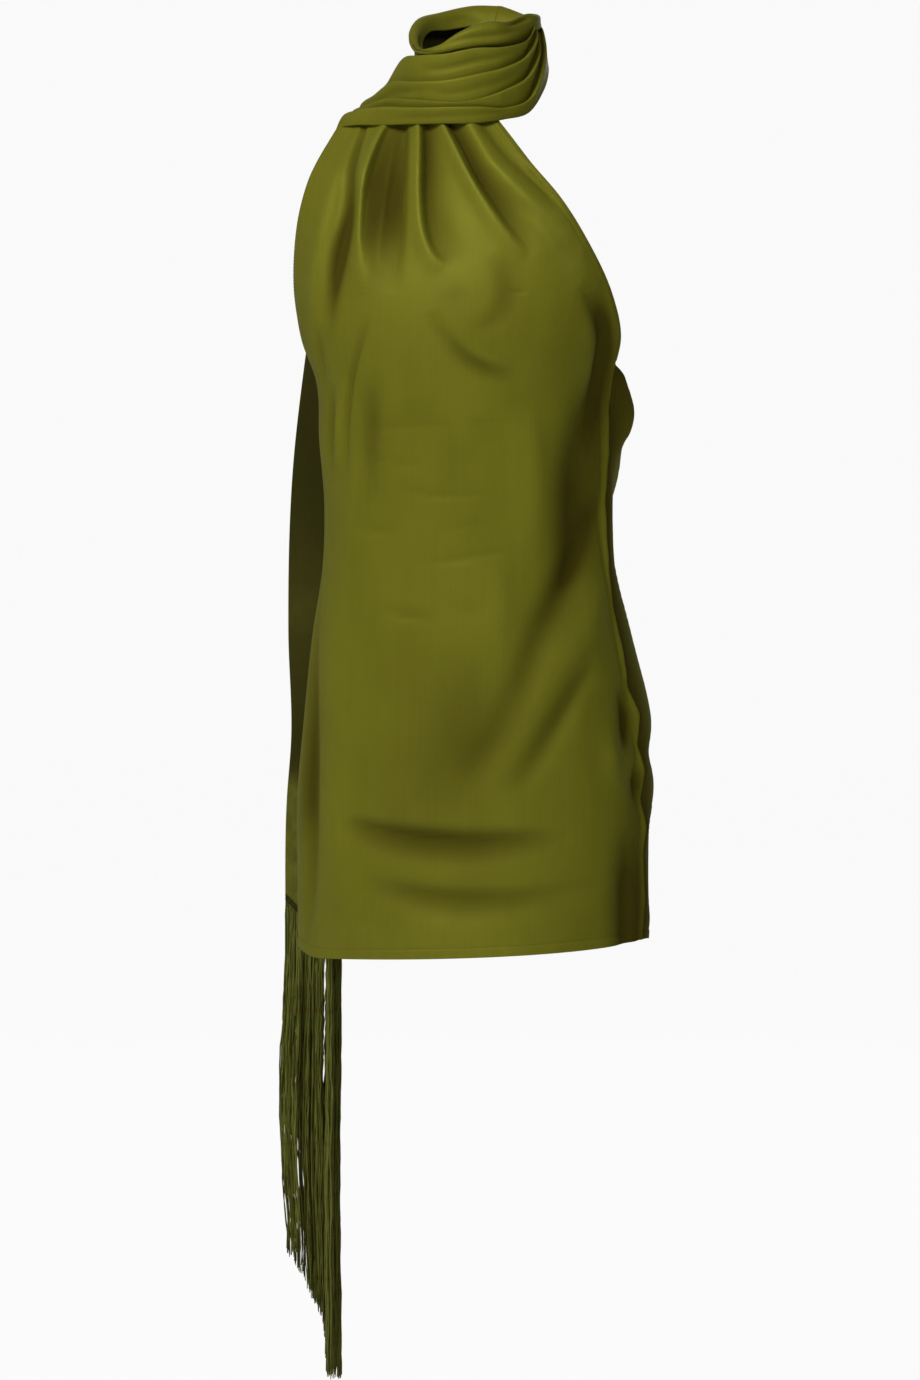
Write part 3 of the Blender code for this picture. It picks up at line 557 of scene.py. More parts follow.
def fold_lift(distance, height, folds):
    """Sum of the folds' lifts at each place of a panel."""
    lift = np.zeros(distance.shape)
    for fold in folds:
        path = read_path(both_widths(fold), even_steps(fold, FOLD_SAMPLES))
        reach = FOLD_REACH * path[2:4].max()
        near = np.ones(distance.shape, dtype=bool)
        for place, line in ((distance, path[0]), (height, path[1])):
            near &= (place > line.min() - reach) & (place < line.max() + reach)
        sideways = distance[near][:, None] - path[0]
        upward = height[near][:, None] - path[1]
        nearest = np.argmin(sideways ** 2 + upward ** 2, axis=-1)
        along = np.gradient(path[:2], axis=1)
        along = (along / np.linalg.norm(along, axis=0))[:, nearest]
        rows = np.arange(len(nearest))
        sideways, upward = sideways[rows, nearest], upward[rows, nearest]
        across = sideways * along[1] - upward * along[0]
        past = sideways * along[0] + upward * along[1]
        past = np.where((nearest == 0) | (nearest == FOLD_SAMPLES - 1), past, 0)
        width = np.where(across > 0, path[2][nearest], path[3][nearest])
        lift[near] += path[4][nearest] * np.exp(-(across ** 2 + past ** 2) / width ** 2)
    return lift


# ---- meshes
def grid_normals(grid, around=False):
    """Unit normals of a grid of points, rows upwards and columns to the right."""
    if around:
        grid = np.concatenate([grid[:, -1:], grid, grid[:, :1]], axis=1)
    normals = unit(np.cross(np.gradient(grid, axis=1), np.gradient(grid, axis=0)))
    return normals[:, 1:-1] if around else normals


def new_object(name, data):
    made = bpy.data.objects.new(name, data)
    bpy.context.scene.collection.objects.link(made)
    return made


def new_piece(name, points, faces, flat, fold):
    """Smooth piece that keeps each point's place on the flat cloth as a UV map, for the weave,
    and a value per point as the attribute fold: for satin, how far the point stands out of the smooth
    shape, with painted shade and light added on most pieces; for thread, its tone."""
    mesh = bpy.data.meshes.new(name)
    mesh.from_pydata((points * MM).tolist(), [], faces)
    corners = np.zeros(len(mesh.loops), dtype=np.int32)
    mesh.loops.foreach_get("vertex_index", corners)
    places = mesh.uv_layers.new(name="flat_cloth")
    places.data.foreach_set("uv", (flat[corners] * MM).astype(np.float32).ravel())
    height = mesh.attributes.new("fold", "FLOAT", "POINT")
    height.data.foreach_set("value", fold.astype(np.float32))
    mesh.shade_smooth()
    return new_object(name, mesh)


def cloth_wall(name, outer, inner, flat, fold, around=False):
    """Closed thin wall between two grids, with the reverse of the cloth on the inner one."""
    rows, columns = outer.shape[:2]
    shift = rows * columns
    index = np.arange(shift).reshape(rows, columns)
    if around:
        index = np.concatenate([index, index[:, :1]], axis=1)
    face = joined(index[:-1, :-1], index[:-1, 1:], index[1:, 1:], index[1:, :-1]).reshape(-1, 4)
    edges = [index[0, ::-1], index[-1]]
    if not around:
        edges += [index[:, 0], index[::-1, -1]]
    rims = [joined(edge[:-1], edge[1:], edge[1:] + shift, edge[:-1] + shift) for edge in edges]
    faces = np.concatenate([face, face[:, [0, 3, 2, 1]] + shift, *rims])
    points = np.concatenate([outer.reshape(-1, 3), inner.reshape(-1, 3)])
    flat = np.tile(flat.reshape(-1, 2), (2, 1))
    piece = new_piece(name, points, faces.tolist(), flat, np.tile(fold.ravel(), 2))
    side = np.zeros(len(faces), dtype=np.int32)
    side[len(face):2 * len(face)] = 1
    piece.data.polygons.foreach_set("material_index", side)
    return piece


def tube_faces(tubes):
    """Faces of closed tubes, given their points by tube, by ring and round the ring."""
    index = np.arange(tubes[..., 0].size).reshape(tubes.shape[:3])
    after = np.roll(index, -1, axis=2)
    sides = joined(index[:, 1:], after[:, 1:], after[:, :-1], index[:, :-1])
    return sides.reshape(-1, 4).tolist() + index[:, 0].tolist() + index[:, -1, ::-1].tolist()


def ring_turns(sides):
    return np.arange(sides) / sides * 2 * np.pi


def dress_piece(piece, materials, slot, *nodes):
    """Give a piece its materials, attach it to the root, and hide the solids it stands in for."""
    for material in materials:
        piece.data.materials.append(material)
    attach(piece, "root")
    if nodes:
        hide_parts(*nodes)


# ---- body of the dress
def edge_columns(count, close=12, reach=0.035):
    """Places across a panel from edge to edge, closer together at both side seams."""
    lip = np.linspace(0, reach, close)[:-1]
    plain = np.linspace(-1 + reach, 1 - reach, count - 2 * close + 2)
    return np.concatenate([-1 + lip, plain, (1 - lip)[::-1]])


def hem_rows(count, reach=0.022):
    """Shares of the way up the side seam, closer together at the hem."""
    close = np.linspace(0, reach, HEM_ROWS)
    return np.concatenate([close[:-1], np.linspace(reach, 1, count - HEM_ROWS + 1)])


def hem_height(across):
    """The hem falls towards the wearer's right and is drawn up again over the right hip."""
    corner = HEM_CORNER * ease((-across - HEM_CORNER_START) / HEM_CORNER_SPAN)
    return HEM_HEIGHT + HEM_RISE * across + corner


def seam_top(across):
    return SEAM_TOP + SEAM_TOP_RISE * across


def panel_surface(across, height, sides, middle_y, turn):
    """Smooth face of a panel, bent round by a turn from its middle to both of its side edges."""
    first_x, first_y, last_x, last_y = sides
    edge_x = np.where(across < 0, first_x, last_x)
    edge_y = np.where(across < 0, first_y, last_y)
    angle = np.abs(across) * turn
    x = edge_x * np.sin(angle) / np.sin(turn)
    y = middle_y + (edge_y - middle_y) * (1 - np.cos(angle)) / (1 - np.cos(turn))
    return joined(x, y, height)


def front_surface(across, height):
    *sides, middle_y, turn = read_table(FRONT_SECTIONS, height)
    return panel_surface(across, height, sides, middle_y, np.radians(turn))


def back_surface(across, height):
    """The back runs the other way, from the wearer's left to the right."""
    *sides, _, _ = read_table(FRONT_SECTIONS, np.minimum(height, BACK_SIDE_TOP))
    middle_y = read_table(BACK_SECTIONS, height)[0]
    return panel_surface(across, height, sides[2:] + sides[:2], middle_y, np.pi / 2)


def from_side(grid):
    """Distance from the nearer side edge of a panel."""
    distance = along_rows(grid)
    return np.minimum(distance - distance[:, :1], distance[:, -1:] - distance)


def edge_relief(grid, height, seam_end, hem):
    """The side seams' raised lip and puckers, which fade out above the seams, and the turned
    hem with its second layer of cloth and the pull of its stitches."""
    side = from_side(grid)
    fall = ease((side - SEAM_LIP_TOP) / (SEAM_LIP_WIDTH - SEAM_LIP_TOP))
    relief = SEAM_LIP * ease(side / SEAM_LIP_FOOT) * (1 - fall)
    relief -= SEAM_DITCH * np.exp(-((side - SEAM_DITCH_PLACE) / SEAM_DITCH_WIDTH) ** 2)
    for place, tall, wide, lift in SEAM_PUCKERS:
        relief += lift * np.exp(-((height - place) / tall) ** 2 - (side / wide) ** 2)
    seam = relief * ease((seam_end + 6 - height) / 12) + 0.5 * (height > seam_end) * (side < 6)
    above = height - hem
    layer = HEM_SWELL * (1 - ease((above - HEM_TURN + 1) / 2))
    return seam + (layer - HEM_PULL * np.exp(-((above - HEM_TURN) / 1.5) ** 2))


def level_normals(grid, low_rows):
    """Normals with the seam edges' own turned level, so that both panels meet in one plane."""
    normals = grid_normals(grid)
    for edge in (0, -1):
        normals[:low_rows, edge] = (np.sign(grid[low_rows // 2, edge, 0]), 0, 0)
    return normals


def front_panel(satin):
    across = edge_columns(FRONT_COLUMNS)
    low = hem_rows(SEAM_ROWS)[:, None]
    high = np.linspace(0, 1, CHEST_ROWS)[1:, None]
    hem, top = hem_height(across), seam_top(across)
    heights = np.concatenate([hem * (1 - low) + top * low, top * (1 - high) + NECK_ROW * high])
    base = front_surface(np.broadcast_to(across, heights.shape), heights)
    normals = level_normals(base, SEAM_ROWS)
    distance, side = along_rows(base), from_side(base)
    fade = ease(side / EDGE_FADE)
    lift = fold_lift(distance, heights, FRONT_FOLDS) * fade
    relief = edge_relief(base, heights, top, hem)
    along = unit(np.gradient(base, axis=1))
    lean = PLEAT_LEAN * fold_lift(distance, heights, NECK_PLEATS) * fade
    outer = base + normals * (lift + relief)[..., None] + along * lean[..., None]
    to_neck = neck_edge(base[-1]) - base[-1] + (0.0, 0.0, NECK_OVERLAP)
    tuck = ease((heights - NECK_ROW + NECK_TUCK) / NECK_TUCK)[..., None]
    sink = NECK_SINK * np.where(across < 0, 0.3 + 0.7 * ease(side / NECK_SINK_SIDE), 1.0)
    outer = outer + (to_neck - normals * sink[..., None]) * tuck
    inner = outer - level_normals(outer, SEAM_ROWS) * SATIN
    # Painted shade and highlight: the tone fed to the satin's fold masks is the lift plus the painted
    # tones
    tone = lift + fold_lift(distance, heights, PAINTED_SHADE_AND_LIGHT)
    piece = cloth_wall("front_panel_cloth", outer, inner, joined(distance, heights), tone)
    dress_piece(piece, satin, "satin", "front_panel")
    return outer


def cowl_edge(across):
    """Height of the back's free upper edge: a soft dip between the two side seams."""
    dip = COWL_DEPTH * (1 - across ** 2) ** 1.5
    return seam_top(-across) - dip


def back_panel(satin):
    across = edge_columns(BACK_COLUMNS)
    rows = hem_rows(BACK_ROWS)[:, None]
    heights = hem_height(-across) * (1 - rows) + cowl_edge(across) * rows
    base = back_surface(np.broadcast_to(across, heights.shape), heights)
    base[..., 1] += SEAM_GAP
    normals = level_normals(base, BACK_ROWS)
    below_edge = cowl_edge(across) - heights
    from_seam = 1 - np.abs(across)
    pouch = COWL_POUCH * np.exp(-((from_seam - POUCH_PLACE) / POUCH_WIDTH) ** 2)
    slack = (pouch + COWL_SLACK * ease(from_seam / 0.4)) * ease(from_seam / 0.04)
    slack = slack * np.exp(-((below_edge - COWL_SWELL) / COWL_SWELL_WIDTH) ** 2)
    distance, side = along_rows(base), from_side(base)
    lift = fold_lift(distance, heights, BACK_FOLDS) * ease(side / EDGE_FADE)
    relief = edge_relief(base, heights, seam_top(-across), hem_height(-across))
    outer = base + normals * (lift + slack + relief)[..., None]
    inner = outer - level_normals(outer, BACK_ROWS) * SATIN
    # Painted shade: darker tone along both side seams, added to the lift for the satin's fold masks
    tone = lift - SEAM_SHADE * np.exp(-(side / SEAM_SHADE_WIDTH) ** 2)
    piece = cloth_wall("back_panel_cloth", outer, inner, joined(distance, heights), tone)
    dress_piece(piece, satin, "satin", "back_panel")
    return outer


# ---- scarf
def turn_edges(stations):
    """Lower edge, upper edge and fold depth of the scarf's second turn."""
    columns = read_table(OUTER_TURN, stations)
    return joined(*columns[:3]), joined(*columns[3:6]), columns[6]


def neck_edge(row):
    """The front panel's gathered neckline, just under the scarf's edge, for a row below it."""
    lower = turn_edges(np.linspace(*NECK_STATIONS, 200))[0]
    share = (row[:, 0] - row[0, 0]) / (row[-1, 0] - row[0, 0])
    x = lower[0, 0] + (lower[-1, 0] - lower[0, 0]) * share
    return read_line(lower, lower[:, 0], x) - (0.0, 0.0, SEAM_GAP)


def outer_turn_grid():
    """Outer face of the second turn: four bands, each rolled over in front of the next. With it
    come the places on the flat cloth and a tone for painted shade and highlight, from how far each
    point stands out."""
    stations = np.linspace(OUTER_TURN[0][0], OUTER_TURN[-1][0], TURN_COLUMNS)
    lower, upper, depth = turn_edges(stations)
    lines = read_table(FOLD_LINES, stations)
    bounds = np.stack([np.zeros(TURN_COLUMNS), *lines, np.ones(TURN_COLUMNS)])
    outward = unit(np.cross(np.gradient(lower + upper, axis=0), upper - lower))
    last = len(lines)
    places, bulges = [], []
    for band, foot in enumerate(bounds[:-1]):
        span = bounds[band + 1] - foot
        fullness = np.minimum(1, span / FULL_BAND)
        if band > 0:
            fullness = fullness * (1 - ease((stations - BANDS_MEET) / 30))
        first_step = 1.0 if band == 0 else 0.0
        last_step = BAND_CREST if band == last else len(BAND_SECTION) - 1.0
        steps = np.linspace(first_step, last_step, BAND_ROWS)
        for rise, bulge in read_path(BAND_SECTION, steps).T:
            places.append(foot + span * (min(rise, 1.0) if band == last else rise))
            bulges.append(depth * fullness * bulge)
    places, bulges = np.stack(places), np.stack(bulges)
    along = np.broadcast_to(stations, places.shape)
    scale = np.array([STATION_ARC, TURN_WIDTH, 1.0, 1.0, 1.0])
    creases = [both_widths(rows) * scale for rows in BAND_CREASES]
    crease = fold_lift(along * STATION_ARC, places * TURN_WIDTH, creases)
    grid = lower + (upper - lower) * places[..., None] + outward * (bulges + crease)[..., None]
    flat = joined(along * STATION_CLOTH, places * np.linalg.norm(upper - lower, axis=-1))
    # Painted shade and highlight: the bulge less half the fold depth, with the creases counted twice
    return grid, flat, bulges - depth * 0.5 + crease * 2


def scarf_outer_turn(satin):
    outer, flat, fold = outer_turn_grid()
    inner = outer - grid_normals(outer) * SATIN
    piece = cloth_wall("scarf_outer_turn_cloth", outer, inner, flat, fold)
    dress_piece(piece, satin, "satin", "scarf_outer_turn")
    return outer


def scarf_inner_turn(satin):
    angles = np.linspace(-180, 180, ROLL_COLUMNS + 1)[:-1]
    rim, roll, foot, reach, drop = read_table(INNER_TURN, angles)
    turn = np.radians(angles)
    rows = []
    steps = even_steps(ROLL_SECTION, ROLL_ROWS)
    for hidden, shown, swell, inward, down in read_path(ROLL_SECTION, steps).T:
        height = NECK_FOOT + (foot - NECK_FOOT) * hidden + (rim - foot) * shown - drop * down
        radius = NECK_RADIUS + roll * swell - reach * inward
        rows.append(joined(radius * np.sin(turn), -radius * np.cos(turn), height))
    outer = np.stack(rows)
    round_neck = np.broadcast_to(angles * NECK_ARC, outer.shape[:2])
    fold = fold_lift(round_neck, outer[..., 2], ROLL_CREASES)
    outer = outer + grid_normals(outer, around=True) * fold[..., None]
    inner = outer - grid_normals(outer, around=True) * SATIN
    flat = joined(round_neck, travelled(outer))
    piece = cloth_wall("scarf_inner_turn_cloth", outer, inner, flat, fold, around=True)
    dress_piece(piece, satin, "satin", "scarf_inner_turn")


def tail_point(share, height):
    """A point on the hanging end's outer face where its lengthwise folds have fully formed;
    shares are even along them, from the outer edge inwards."""
    edge_x, edge_y = read_table(TAIL_EDGE, height)
    section = joined(*read_path(TAIL_FOLDS, even_steps(TAIL_FOLDS, TAIL_SAMPLES)))
    length = travelled(section)
    fold_x, fold_y = read_line(section, length, np.asarray(share) * length[-1]).T
    drift = sum(size * np.sin(height / long + share * turn) for size, long, turn in TAIL_DRIFTS)
    drift = drift * ease(share / 0.15) * ease((height - TAIL_END) / 120)
    return joined(edge_x + fold_x, edge_y + fold_y + drift * 0.4, height)


def end_line(shares, drop):
    """Outer points along the slanted end, and the way that its face looks."""
    outer = tail_point(shares, np.full(len(shares), TAIL_END))
    along = unit(np.gradient(outer[:, :2], axis=0))
    face = joined(along[:, 1], -along[:, 0], np.zeros(len(shares)))
    slant = TAIL_END_SLANT * (outer[:, 0] - TAIL_OUTER) / TAIL_SPAN
    outer[:, 2] = TAIL_END - slant - drop
    return outer, face


def scarf_tail(satin, turn):
    """The hanging end, from the second turn's first column down to the slanted end."""
    top = turn[::-1, 0]
    onward = (turn[:, 0] - turn[:, 1]).mean(axis=0)
    top = top + onward * SEAM_GAP / np.linalg.norm(onward)
    top = read_line(top, np.arange(len(top)), even_steps(top, TAIL_COLUMNS))
    shares = np.linspace(1, 0, TAIL_COLUMNS)
    end = end_line(shares, 0.0)[0]
    rows = []
    for step in np.linspace(0, 1, TAIL_ROWS):
        heights = end[:, 2] * (1 - step) + top[:, 2] * step
        formed = ease((top[:, 2] - heights) / TAIL_GATHER)[:, None]
        rows.append(top * (1 - formed) + tail_point(shares, heights) * formed)
    outer = np.stack(rows)
    inner = outer - grid_normals(outer) * SATIN
    flat = joined(np.broadcast_to(shares * TAIL_CLOTH, outer.shape[:2]), outer[..., 2])
    # Painted shade and light along the hanging end, not a lift of its shape
    fold = read_table(TAIL_PAINTED_LIGHT, outer[..., 2])[0]
    piece = cloth_wall("scarf_tail_cloth", outer, inner, flat, fold)
    dress_piece(piece, satin, "satin", "scarf_tail")


# ---- fringe
def fringe_sway(x, share):
    """How far a strand swings away from the body, most on the outer side above the tips."""
    outward = np.clip(1 - (x - TAIL_OUTER) / TAIL_SPAN, 0, 1)
    return FRINGE_SWAY * outward * np.sin(np.pi * share ** 1.3) ** 2


def pushed_apart(across, place, reach, width):
    """How far a parting pushes the strands beside it to either side."""
    apart = (across - place) / reach
    return np.sign(apart) * width * np.exp(-apart ** 2)


def strand_paths(rng):
    """Middle lines of the threads: three bundles with waves, two partings and ragged tips."""
    root, face = end_line(np.linspace(0.004, 0.996, STRANDS), SEAM_GAP)
    root = root - face * rng.uniform(*THREAD_PLACE, STRANDS)[:, None]
    sight = np.radians(SIGHT_LINE)
    sideways = np.array([np.cos(sight), np.sin(sight)])
    inward = np.array([-np.sin(sight), np.cos(sight)])
    across = (root[:, :2] - root[0, :2]) @ sideways
    tip = np.interp(across, *np.transpose(FRINGE_TIPS))
    longer = rng.uniform(-0.15, 1, STRANDS) ** 3 * TIP_LONGER
    tip = tip + longer + rng.uniform(0, TIP_RAGGED, STRANDS)
    bundle = np.digitize(across, (FRINGE_SIDE, FRINGE_PARTING))
    down = np.linspace(0, 1, STRAND_ROWS)
    gather = ease(down / 0.3)[None] * rng.uniform(*THREAD_GATHER, STRANDS)[:, None]
    wave = rng.uniform(*THREAD_WAVE, (STRANDS, 2))
    phase = rng.uniform(0, 2 * np.pi, (STRANDS, 4))
    turns = rng.uniform(*THREAD_TURNS, (STRANDS, 2))
    opened = ease(down / 0.05) * (1 - 0.7 * ease((down - 0.36) / 0.25))
    opened = opened * (0.8 + 0.3 * np.sin(down * 75))
    locks = LOCK_WIDTH * np.sin(across * 1.9 + 0.4 * np.sin(across * 0.7))
    parting = pushed_apart(across, FRINGE_PARTING, PARTING_REACH, PARTING_WIDTH)
    side_parting = pushed_apart(across, FRINGE_SIDE, SIDE_REACH, SIDE_PARTING)
    pushes = (
        (parting, opened),
        (side_parting, ease((down - 0.45) / 0.2)),
        (locks, ease(down / 0.15)),
    )
    depth = root[:, :2] @ inward
    middle = np.array([depth[bundle == part].mean() for part in range(3)])[bundle]
    paths = np.zeros((STRANDS, STRAND_ROWS, 3))
    for axis in (0, 1):
        drift = ((middle - depth) * inward[axis])[:, None] * gather
        forward = -BUNDLE_FORWARD * inward[axis] * (bundle == 2)
        drift = drift + forward[:, None] * ease(down / 0.12)
        for push, share in pushes:
            drift = drift + (push * sideways[axis])[:, None] * share
        slow = np.sin(turns[:, axis, None] * down * 6.28 + phase[:, axis, None])
        quick = 0.22 * np.sin(turns[:, axis, None] * down * 23 + phase[:, axis + 2, None])
        loose = (wave[:, axis, None] * slow + quick) * ease(down / 0.08)
        paths[:, :, axis] = root[:, axis, None] + drift + loose
    paths[:, :, 2] = root[:, 2, None] * (1 - down) + tip[:, None] * down
    paths[:, :, 0] -= fringe_sway(root[:, 0, None], down)
    return paths, down, bundle


def fringe(threads):
    """Long soft threads from the scarf's slanted end, each a thin tapering tube."""
    rng = np.random.default_rng(STRAND_SEED)
    paths, down, bundle = strand_paths(rng)
    turn = ring_turns(STRAND_SIDES)
    ring = joined(np.cos(turn), np.sin(turn), np.zeros(STRAND_SIDES))
    radius = STRAND_RADIUS * (1 - 0.45 * down ** 3)
    tubes = paths[:, :, None] + ring[None, None] * radius[None, :, None, None]
    around = np.broadcast_to(np.arange(STRAND_SIDES) * 0.9, tubes.shape[:3])
    flat = joined(around, tubes[..., 2]).reshape(-1, 2)
    tone = rng.uniform(0, 1, STRANDS)
    # Painted light: the third bundle's threads are paler, to lift them out of the other bundles' shade
    tone = np.where(bundle == 2, 0.25 + 0.75 * tone, tone)
    tone = np.repeat(tone, STRAND_ROWS * STRAND_SIDES)
    piece = new_piece("fringe_threads", tubes.reshape(-1, 3), tube_faces(tubes), flat, tone)
    dress_piece(piece, [threads], "thread", "tail_fringe")


def fringe_heading(threads):
    """Narrow strip behind the slanted end, which the threads hang from."""
    shares = np.linspace(1, 0, HEADING_COLUMNS)
    top, face = end_line(shares, SEAM_GAP)
    foot = end_line(shares, SEAM_GAP + STRIP_HEIGHT)[0]
    rows = np.linspace(0, 1, HEADING_ROWS)[:, None, None]
    outer = foot * (1 - rows) + top * rows
    outer = outer + face * (0.5 * np.sin(rows * np.pi))
    inner = outer - face * STRIP_DEPTH
    flat = joined(np.broadcast_to(shares * TAIL_CLOTH, outer.shape[:2]), outer[..., 2])
    strip = cloth_wall("fringe_heading", outer, inner, flat, np.zeros(outer.shape[:2]))
    dress_piece(strip, [threads, threads], "thread")


# ---- sewing
def stitch_row(points, normals):
    """Small raised stitches along a line of points, each a short closed tube."""
    marks = travelled(points)
    starts = np.arange(0.5, marks[-1] - STITCH_LENGTH, STITCH_LENGTH + STITCH_GAP)
    shares = np.linspace(0, 1, STITCH_RINGS)
    places = starts[:, None] + shares * STITCH_LENGTH
    line = read_line(points, marks, places)
    up = read_line(normals, marks, places)
    side = np.cross(unit(np.gradient(line, axis=1)), up)
    turn = ring_turns(STITCH_SIDES)[:, None]
    swell = STITCH_RADIUS * np.sin(np.pi * (0.12 + 0.76 * shares))[None, :, None, None]
    line = line + up * (0.25 * np.sin(np.pi * shares) - 0.05)[None, :, None]
    ring = side[:, :, None] * np.cos(turn) + up[:, :, None] * np.sin(turn)
    return line[:, :, None] + ring * swell


def sewing(front, back, threads):
    """The hem's row of stitches all round, and those along the armholes and the cowl's edge."""
    front, back = joined(front, grid_normals(front)), joined(back, grid_normals(back))
    armhole = slice(SEAM_ROWS, -14)
    lines = (front[STITCH_ROW], back[STITCH_ROW], front[armhole, 5], front[armhole, -6], back[-3])
    tubes = np.concatenate([stitch_row(line[..., 0], line[..., 1]) for line in lines])
    points = tubes.reshape(-1, 3)
    tone = np.full(len(points), STITCH_TONE)
    piece = new_piece("hem_stitches", points, tube_faces(tubes), points[:, [0, 2]], tone)
    dress_piece(piece, [threads], "thread")


# ---- shader nodes
def set_inputs(node, values):
    for label, value in values.items():
        node.inputs[label].default_value = value


def math_node(tree, operation, first, second=None, clamp=False):
    """Math node fed by two sockets or numbers; returns its output."""
    node = tree.nodes.new("ShaderNodeMath")
    node.operation = operation
    node.use_clamp = clamp
    for socket, value in zip(node.inputs, (first, second)):
        if isinstance(value, (int, float)):
            socket.default_value = value
        elif value is not None:
            tree.links.new(value, socket)
    return node.outputs[0]


def times(tree, first, second, clamp=False):
    return math_node(tree, "MULTIPLY", first, second, clamp)


def stands_above(tree, value, level, gain):
    """Share from 0 to 1: how far a value stands above a level, times a gain."""
    return times(tree, math_node(tree, "SUBTRACT", value, level, True), gain, True)


def flat_places(tree):
    places = tree.nodes.new("ShaderNodeUVMap")
    places.uv_map = "flat_cloth"
    return places.outputs["UV"]


def noise_node(tree, across, along, detail=3.0):
    """Noise over the flat cloth, so many times finer across it and along it."""
    mapping = tree.nodes.new("ShaderNodeMapping")
    mapping.inputs["Scale"].default_value = (across, along, 1.0)
    tree.links.new(flat_places(tree), mapping.inputs["Vector"])
    node = tree.nodes.new("ShaderNodeTexNoise")
    set_inputs(node, {"Detail": detail, "Roughness": 0.5, "Scale": 1.0})
    tree.links.new(mapping.outputs["Vector"], node.inputs["Vector"])
    return node.outputs["Fac"]


def fold_reader(tree):
    fold = tree.nodes.new("ShaderNodeAttribute")
    fold.attribute_name = "fold"
    return fold.outputs["Fac"]


def mix_colours(tree, share, first, second):
    """Mix of two colours, each a socket or a tuple, by a share that is a socket."""
    node = tree.nodes.new("ShaderNodeMix")
    node.data_type = "RGBA"
    tree.links.new(share, node.inputs[0])
    for socket, value in ((node.inputs[6], first), (node.inputs[7], second)):
        if isinstance(value, tuple):
            socket.default_value = (*value, 1.0)
        else:
            tree.links.new(value, socket)
    return node.outputs[2]


def bump_node(tree, height, strength, distance, normal=None):
    node = tree.nodes.new("ShaderNodeBump")
    set_inputs(node, {"Strength": strength, "Distance": distance})
    tree.links.new(height, node.inputs["Height"])
    if normal is not None:
        tree.links.new(normal, node.inputs["Normal"])
    return node.outputs["Normal"]


def new_group(name, given, value, *made):
    """Empty shader node group with one named number coming in and named ones going out."""
    group = bpy.data.node_groups.new(name, "ShaderNodeTree")
    socket = group.interface.new_socket(given, in_out="INPUT", socket_type="NodeSocketFloat")
    socket.default_value = value
    for label in made:
        group.interface.new_socket(label, in_out="OUTPUT", socket_type="NodeSocketFloat")
    given_node = group.nodes.new("NodeGroupInput")
    return group, given_node.outputs[given], group.nodes.new("NodeGroupOutput").inputs


def place_group(tree, group, values):
    node = tree.nodes.new("ShaderNodeGroup")
    node.node_tree = group
    set_inputs(node, values)
    return node.outputs


def satin_weave_group():
    """Fine threads of the satin: long floats down the cloth, with slubs and a crossing weft."""
    group, pitch, made = new_group("satin_weave", "Thread Pitch", 0.0005, "Height", "Streak")
    axes = group.nodes.new("ShaderNodeSeparateXYZ")
    group.links.new(flat_places(group), axes.inputs[0])
    per_thread = math_node(group, "DIVIDE", 6.2832, pitch)
    warp_turn = times(group, axes.outputs["X"], per_thread)
    weft_turn = times(group, axes.outputs["Y"], per_thread)
    slant = times(group, math_node(group, "ADD", weft_turn, warp_turn), 0.4)
    weft = math_node(group, "MAXIMUM", math_node(group, "SINE", slant), 0.0)
    warp = times(group, math_node(group, "SINE", warp_turn), 0.5)
    threads = math_node(group, "ADD", warp, times(group, weft, 0.45))
    slubs = noise_node(group, 900.0, 22.0)
    height = math_node(group, "ADD", times(group, threads, 0.6), slubs)
    group.links.new(height, made["Height"])
    group.links.new(noise_node(group, 420.0, 9.0, detail=4.0), made["Streak"])
    return group


def soft_wrinkles_group():
    """Shallow irregular creases of pressed and handled satin, with their tone."""
    group, spread, made = new_group("soft_wrinkles", "Spread", 1.0, "Height", "Tone")
    broad = noise_node(group, 16.0, 10.0, detail=2.0)
    fine = noise_node(group, 60.0, 34.0)
    ridge = math_node(group, "ABSOLUTE", math_node(group, "SUBTRACT", fine, 0.5))
    ridge = times(group, ridge, math_node(group, "SUBTRACT", broad, 0.35, clamp=True))
    height = math_node(group, "ADD", times(group, broad, 0.6), ridge)
    group.links.new(times(group, height, spread), made["Height"])
    group.links.new(broad, made["Tone"])
    return group


def fold_painted_light_group():
    """Masks from how far a point stands out: painted highlight on the crests, broken up by noise, and
    painted shade in the valleys.
    """
    group, reach, made = new_group("fold_painted_light", "Reach", 5.0, "Crest", "Valley")
    share = math_node(group, "DIVIDE", fold_reader(group), reach)
    crest = math_node(group, "MAXIMUM", share, 0.0, clamp=True)
    group.links.new(times(group, crest, noise_node(group, 90.0, 60.0)), made["Crest"])
    group.links.new(times(group, share, -0.55, clamp=True), made["Valley"])
    return group


# ---- finishes
def new_material(name):
    material = bpy.data.materials.new(name)
    material.use_nodes = True
    tree = material.node_tree
    return material, tree, tree.nodes["Principled BSDF"]


